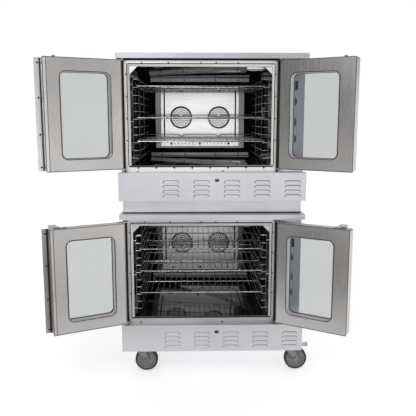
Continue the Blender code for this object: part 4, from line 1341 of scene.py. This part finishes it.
def make_floor():
    """A pale disc that looks evenly lit. What it casts on the oven has bright and shaded patches."""
    bm = bmesh.new()
    add_plate(bm, circle((0, 0), 14.0, 64), [], "Z", -0.02, 0.0)
    shader = Shader("studio_floor", (0.80, 0.80, 0.80), 0.9)
    shader.inputs["Specular IOR Level"].default_value = 0.0
    shader.inputs["Emission Color"].default_value = (1.0, 1.0, 1.0, 1.0)
    parts = shader.add("SeparateXYZ", {"Vector": shader.place})
    x, y = parts["X"], parts["Y"]
    seen = shader.add("LightPath", {})["Is Camera Ray"]
    near = shader.steps(y, FRONT_Y - 1.1, FRONT_Y - 0.6, 0.0, 0.48)
    far = shader.steps(y, FRONT_Y - 2.6, FRONT_Y - 4.5, 0.0, 0.62)
    beside = shader.steps(x, 0.25, 0.65, 0.0, 0.22)
    cast = shader.combine("MAXIMUM", shader.combine("ADD", near, far, True), beside, True)
    glow = shader.combine("MAXIMUM", cast, shader.steps(seen, 0.0, 1.0, 0.0, 0.55), True)
    shader.set("Emission Strength", glow)
    ahead = shader.steps(y, FRONT_Y - 0.7, FRONT_Y - 1.3)
    bounded = shader.steps(y, FRONT_Y - 4.2, FRONT_Y - 3.0)
    left = shader.steps(x, -0.25, -0.90, 0.0, 0.95)
    shade = shader.combine("MULTIPLY", shader.combine("MULTIPLY", ahead, bounded, True), left, True)
    shader.tint(shader.combine("SUBTRACT", shade, seen, True), (0.09, 0.09, 0.09))
    floor = make_object("studio_floor", bm, shader.material)


def make_world():
    """A white room to look at. What it casts is bright ahead of the oven, and dimmer at the sides."""
    world = bpy.data.worlds.new("studio")
    bpy.context.scene.world = world
    world.use_nodes = True
    world.node_tree.nodes.clear()
    room = Nodes(world.node_tree)
    parts = room.add("SeparateXYZ", {"Vector": room.add("TexCoord", {})["Generated"]})
    x, z = parts["X"], parts["Z"]
    left = room.steps(x, -0.80, -0.42, 0.05, 1.38)
    right = room.steps(x, 0.25, 0.55, 1.0, 0.62)
    softbox = room.steps(x, 0.60, 0.82, 1.0, 1.48)
    horizon = room.steps(z, 0.0, 0.10, 1.0, 0.45)
    above = room.steps(z, 0.25, 0.75, 1.0, 1.30)
    sides = room.combine("MULTIPLY", left, right)
    inner = room.combine("MULTIPLY", softbox, horizon)
    light = room.combine("MULTIPLY", room.combine("MULTIPLY", sides, inner), above)
    cast = room.add("Background", {"Color": (1.0, 0.995, 1.0, 1.0), "Strength": light})["Background"]
    seen = room.add("Background", {"Color": (1.0, 1.0, 1.0, 1.0)})["Background"]
    camera_ray = room.add("LightPath", {})["Is Camera Ray"]
    mixed = room.add("MixShader", {"Fac": camera_ray, 1: cast, 2: seen})["Shader"]
    room.add("OutputWorld", {"Surface": mixed})


def add_light(name, place, target, size, power):
    light = bpy.data.lights.new(name, "AREA")
    light.shape = "RECTANGLE"
    light.size, light.size_y = size
    light.energy = power
    obj = bpy.data.objects.new(name, light)
    bpy.context.scene.collection.objects.link(obj)
    obj.location = place
    obj.rotation_euler = (Vector(target) - Vector(place)).to_track_quat("-Z", "Y").to_euler()


def make_camera():
    camera = bpy.data.cameras.new("camera")
    camera.lens = 49.2
    camera.sensor_width = 36.0
    obj = bpy.data.objects.new("camera", camera)
    bpy.context.scene.collection.objects.link(obj)
    obj.location = (BODY_X - 0.09, FRONT_Y - 2.92, 1.41)
    obj.rotation_euler = (math.radians(80.95), 0.0, math.radians(-1.3))
    bpy.context.scene.camera = obj


for DECK in DECKS:
    dress_deck(DECK)
softened("stacking_spacer", STEEL_PANEL, 0.0008)
spacer_shade_strip()
for NAME in ("front_left", "front_right", "rear_left", "rear_right"):
    caster(NAME)
softened("front_right_brake_pedal", ZINC, 0.0005)

make_floor()
make_world()
add_light("key", (BODY_X - 1.2, FRONT_Y - 3.0, 3.0), (BODY_X, FRONT_Y, 0.9), (2.4, 1.6), 25.0)
make_camera()
bpy.context.scene.view_settings.view_transform = "Standard"
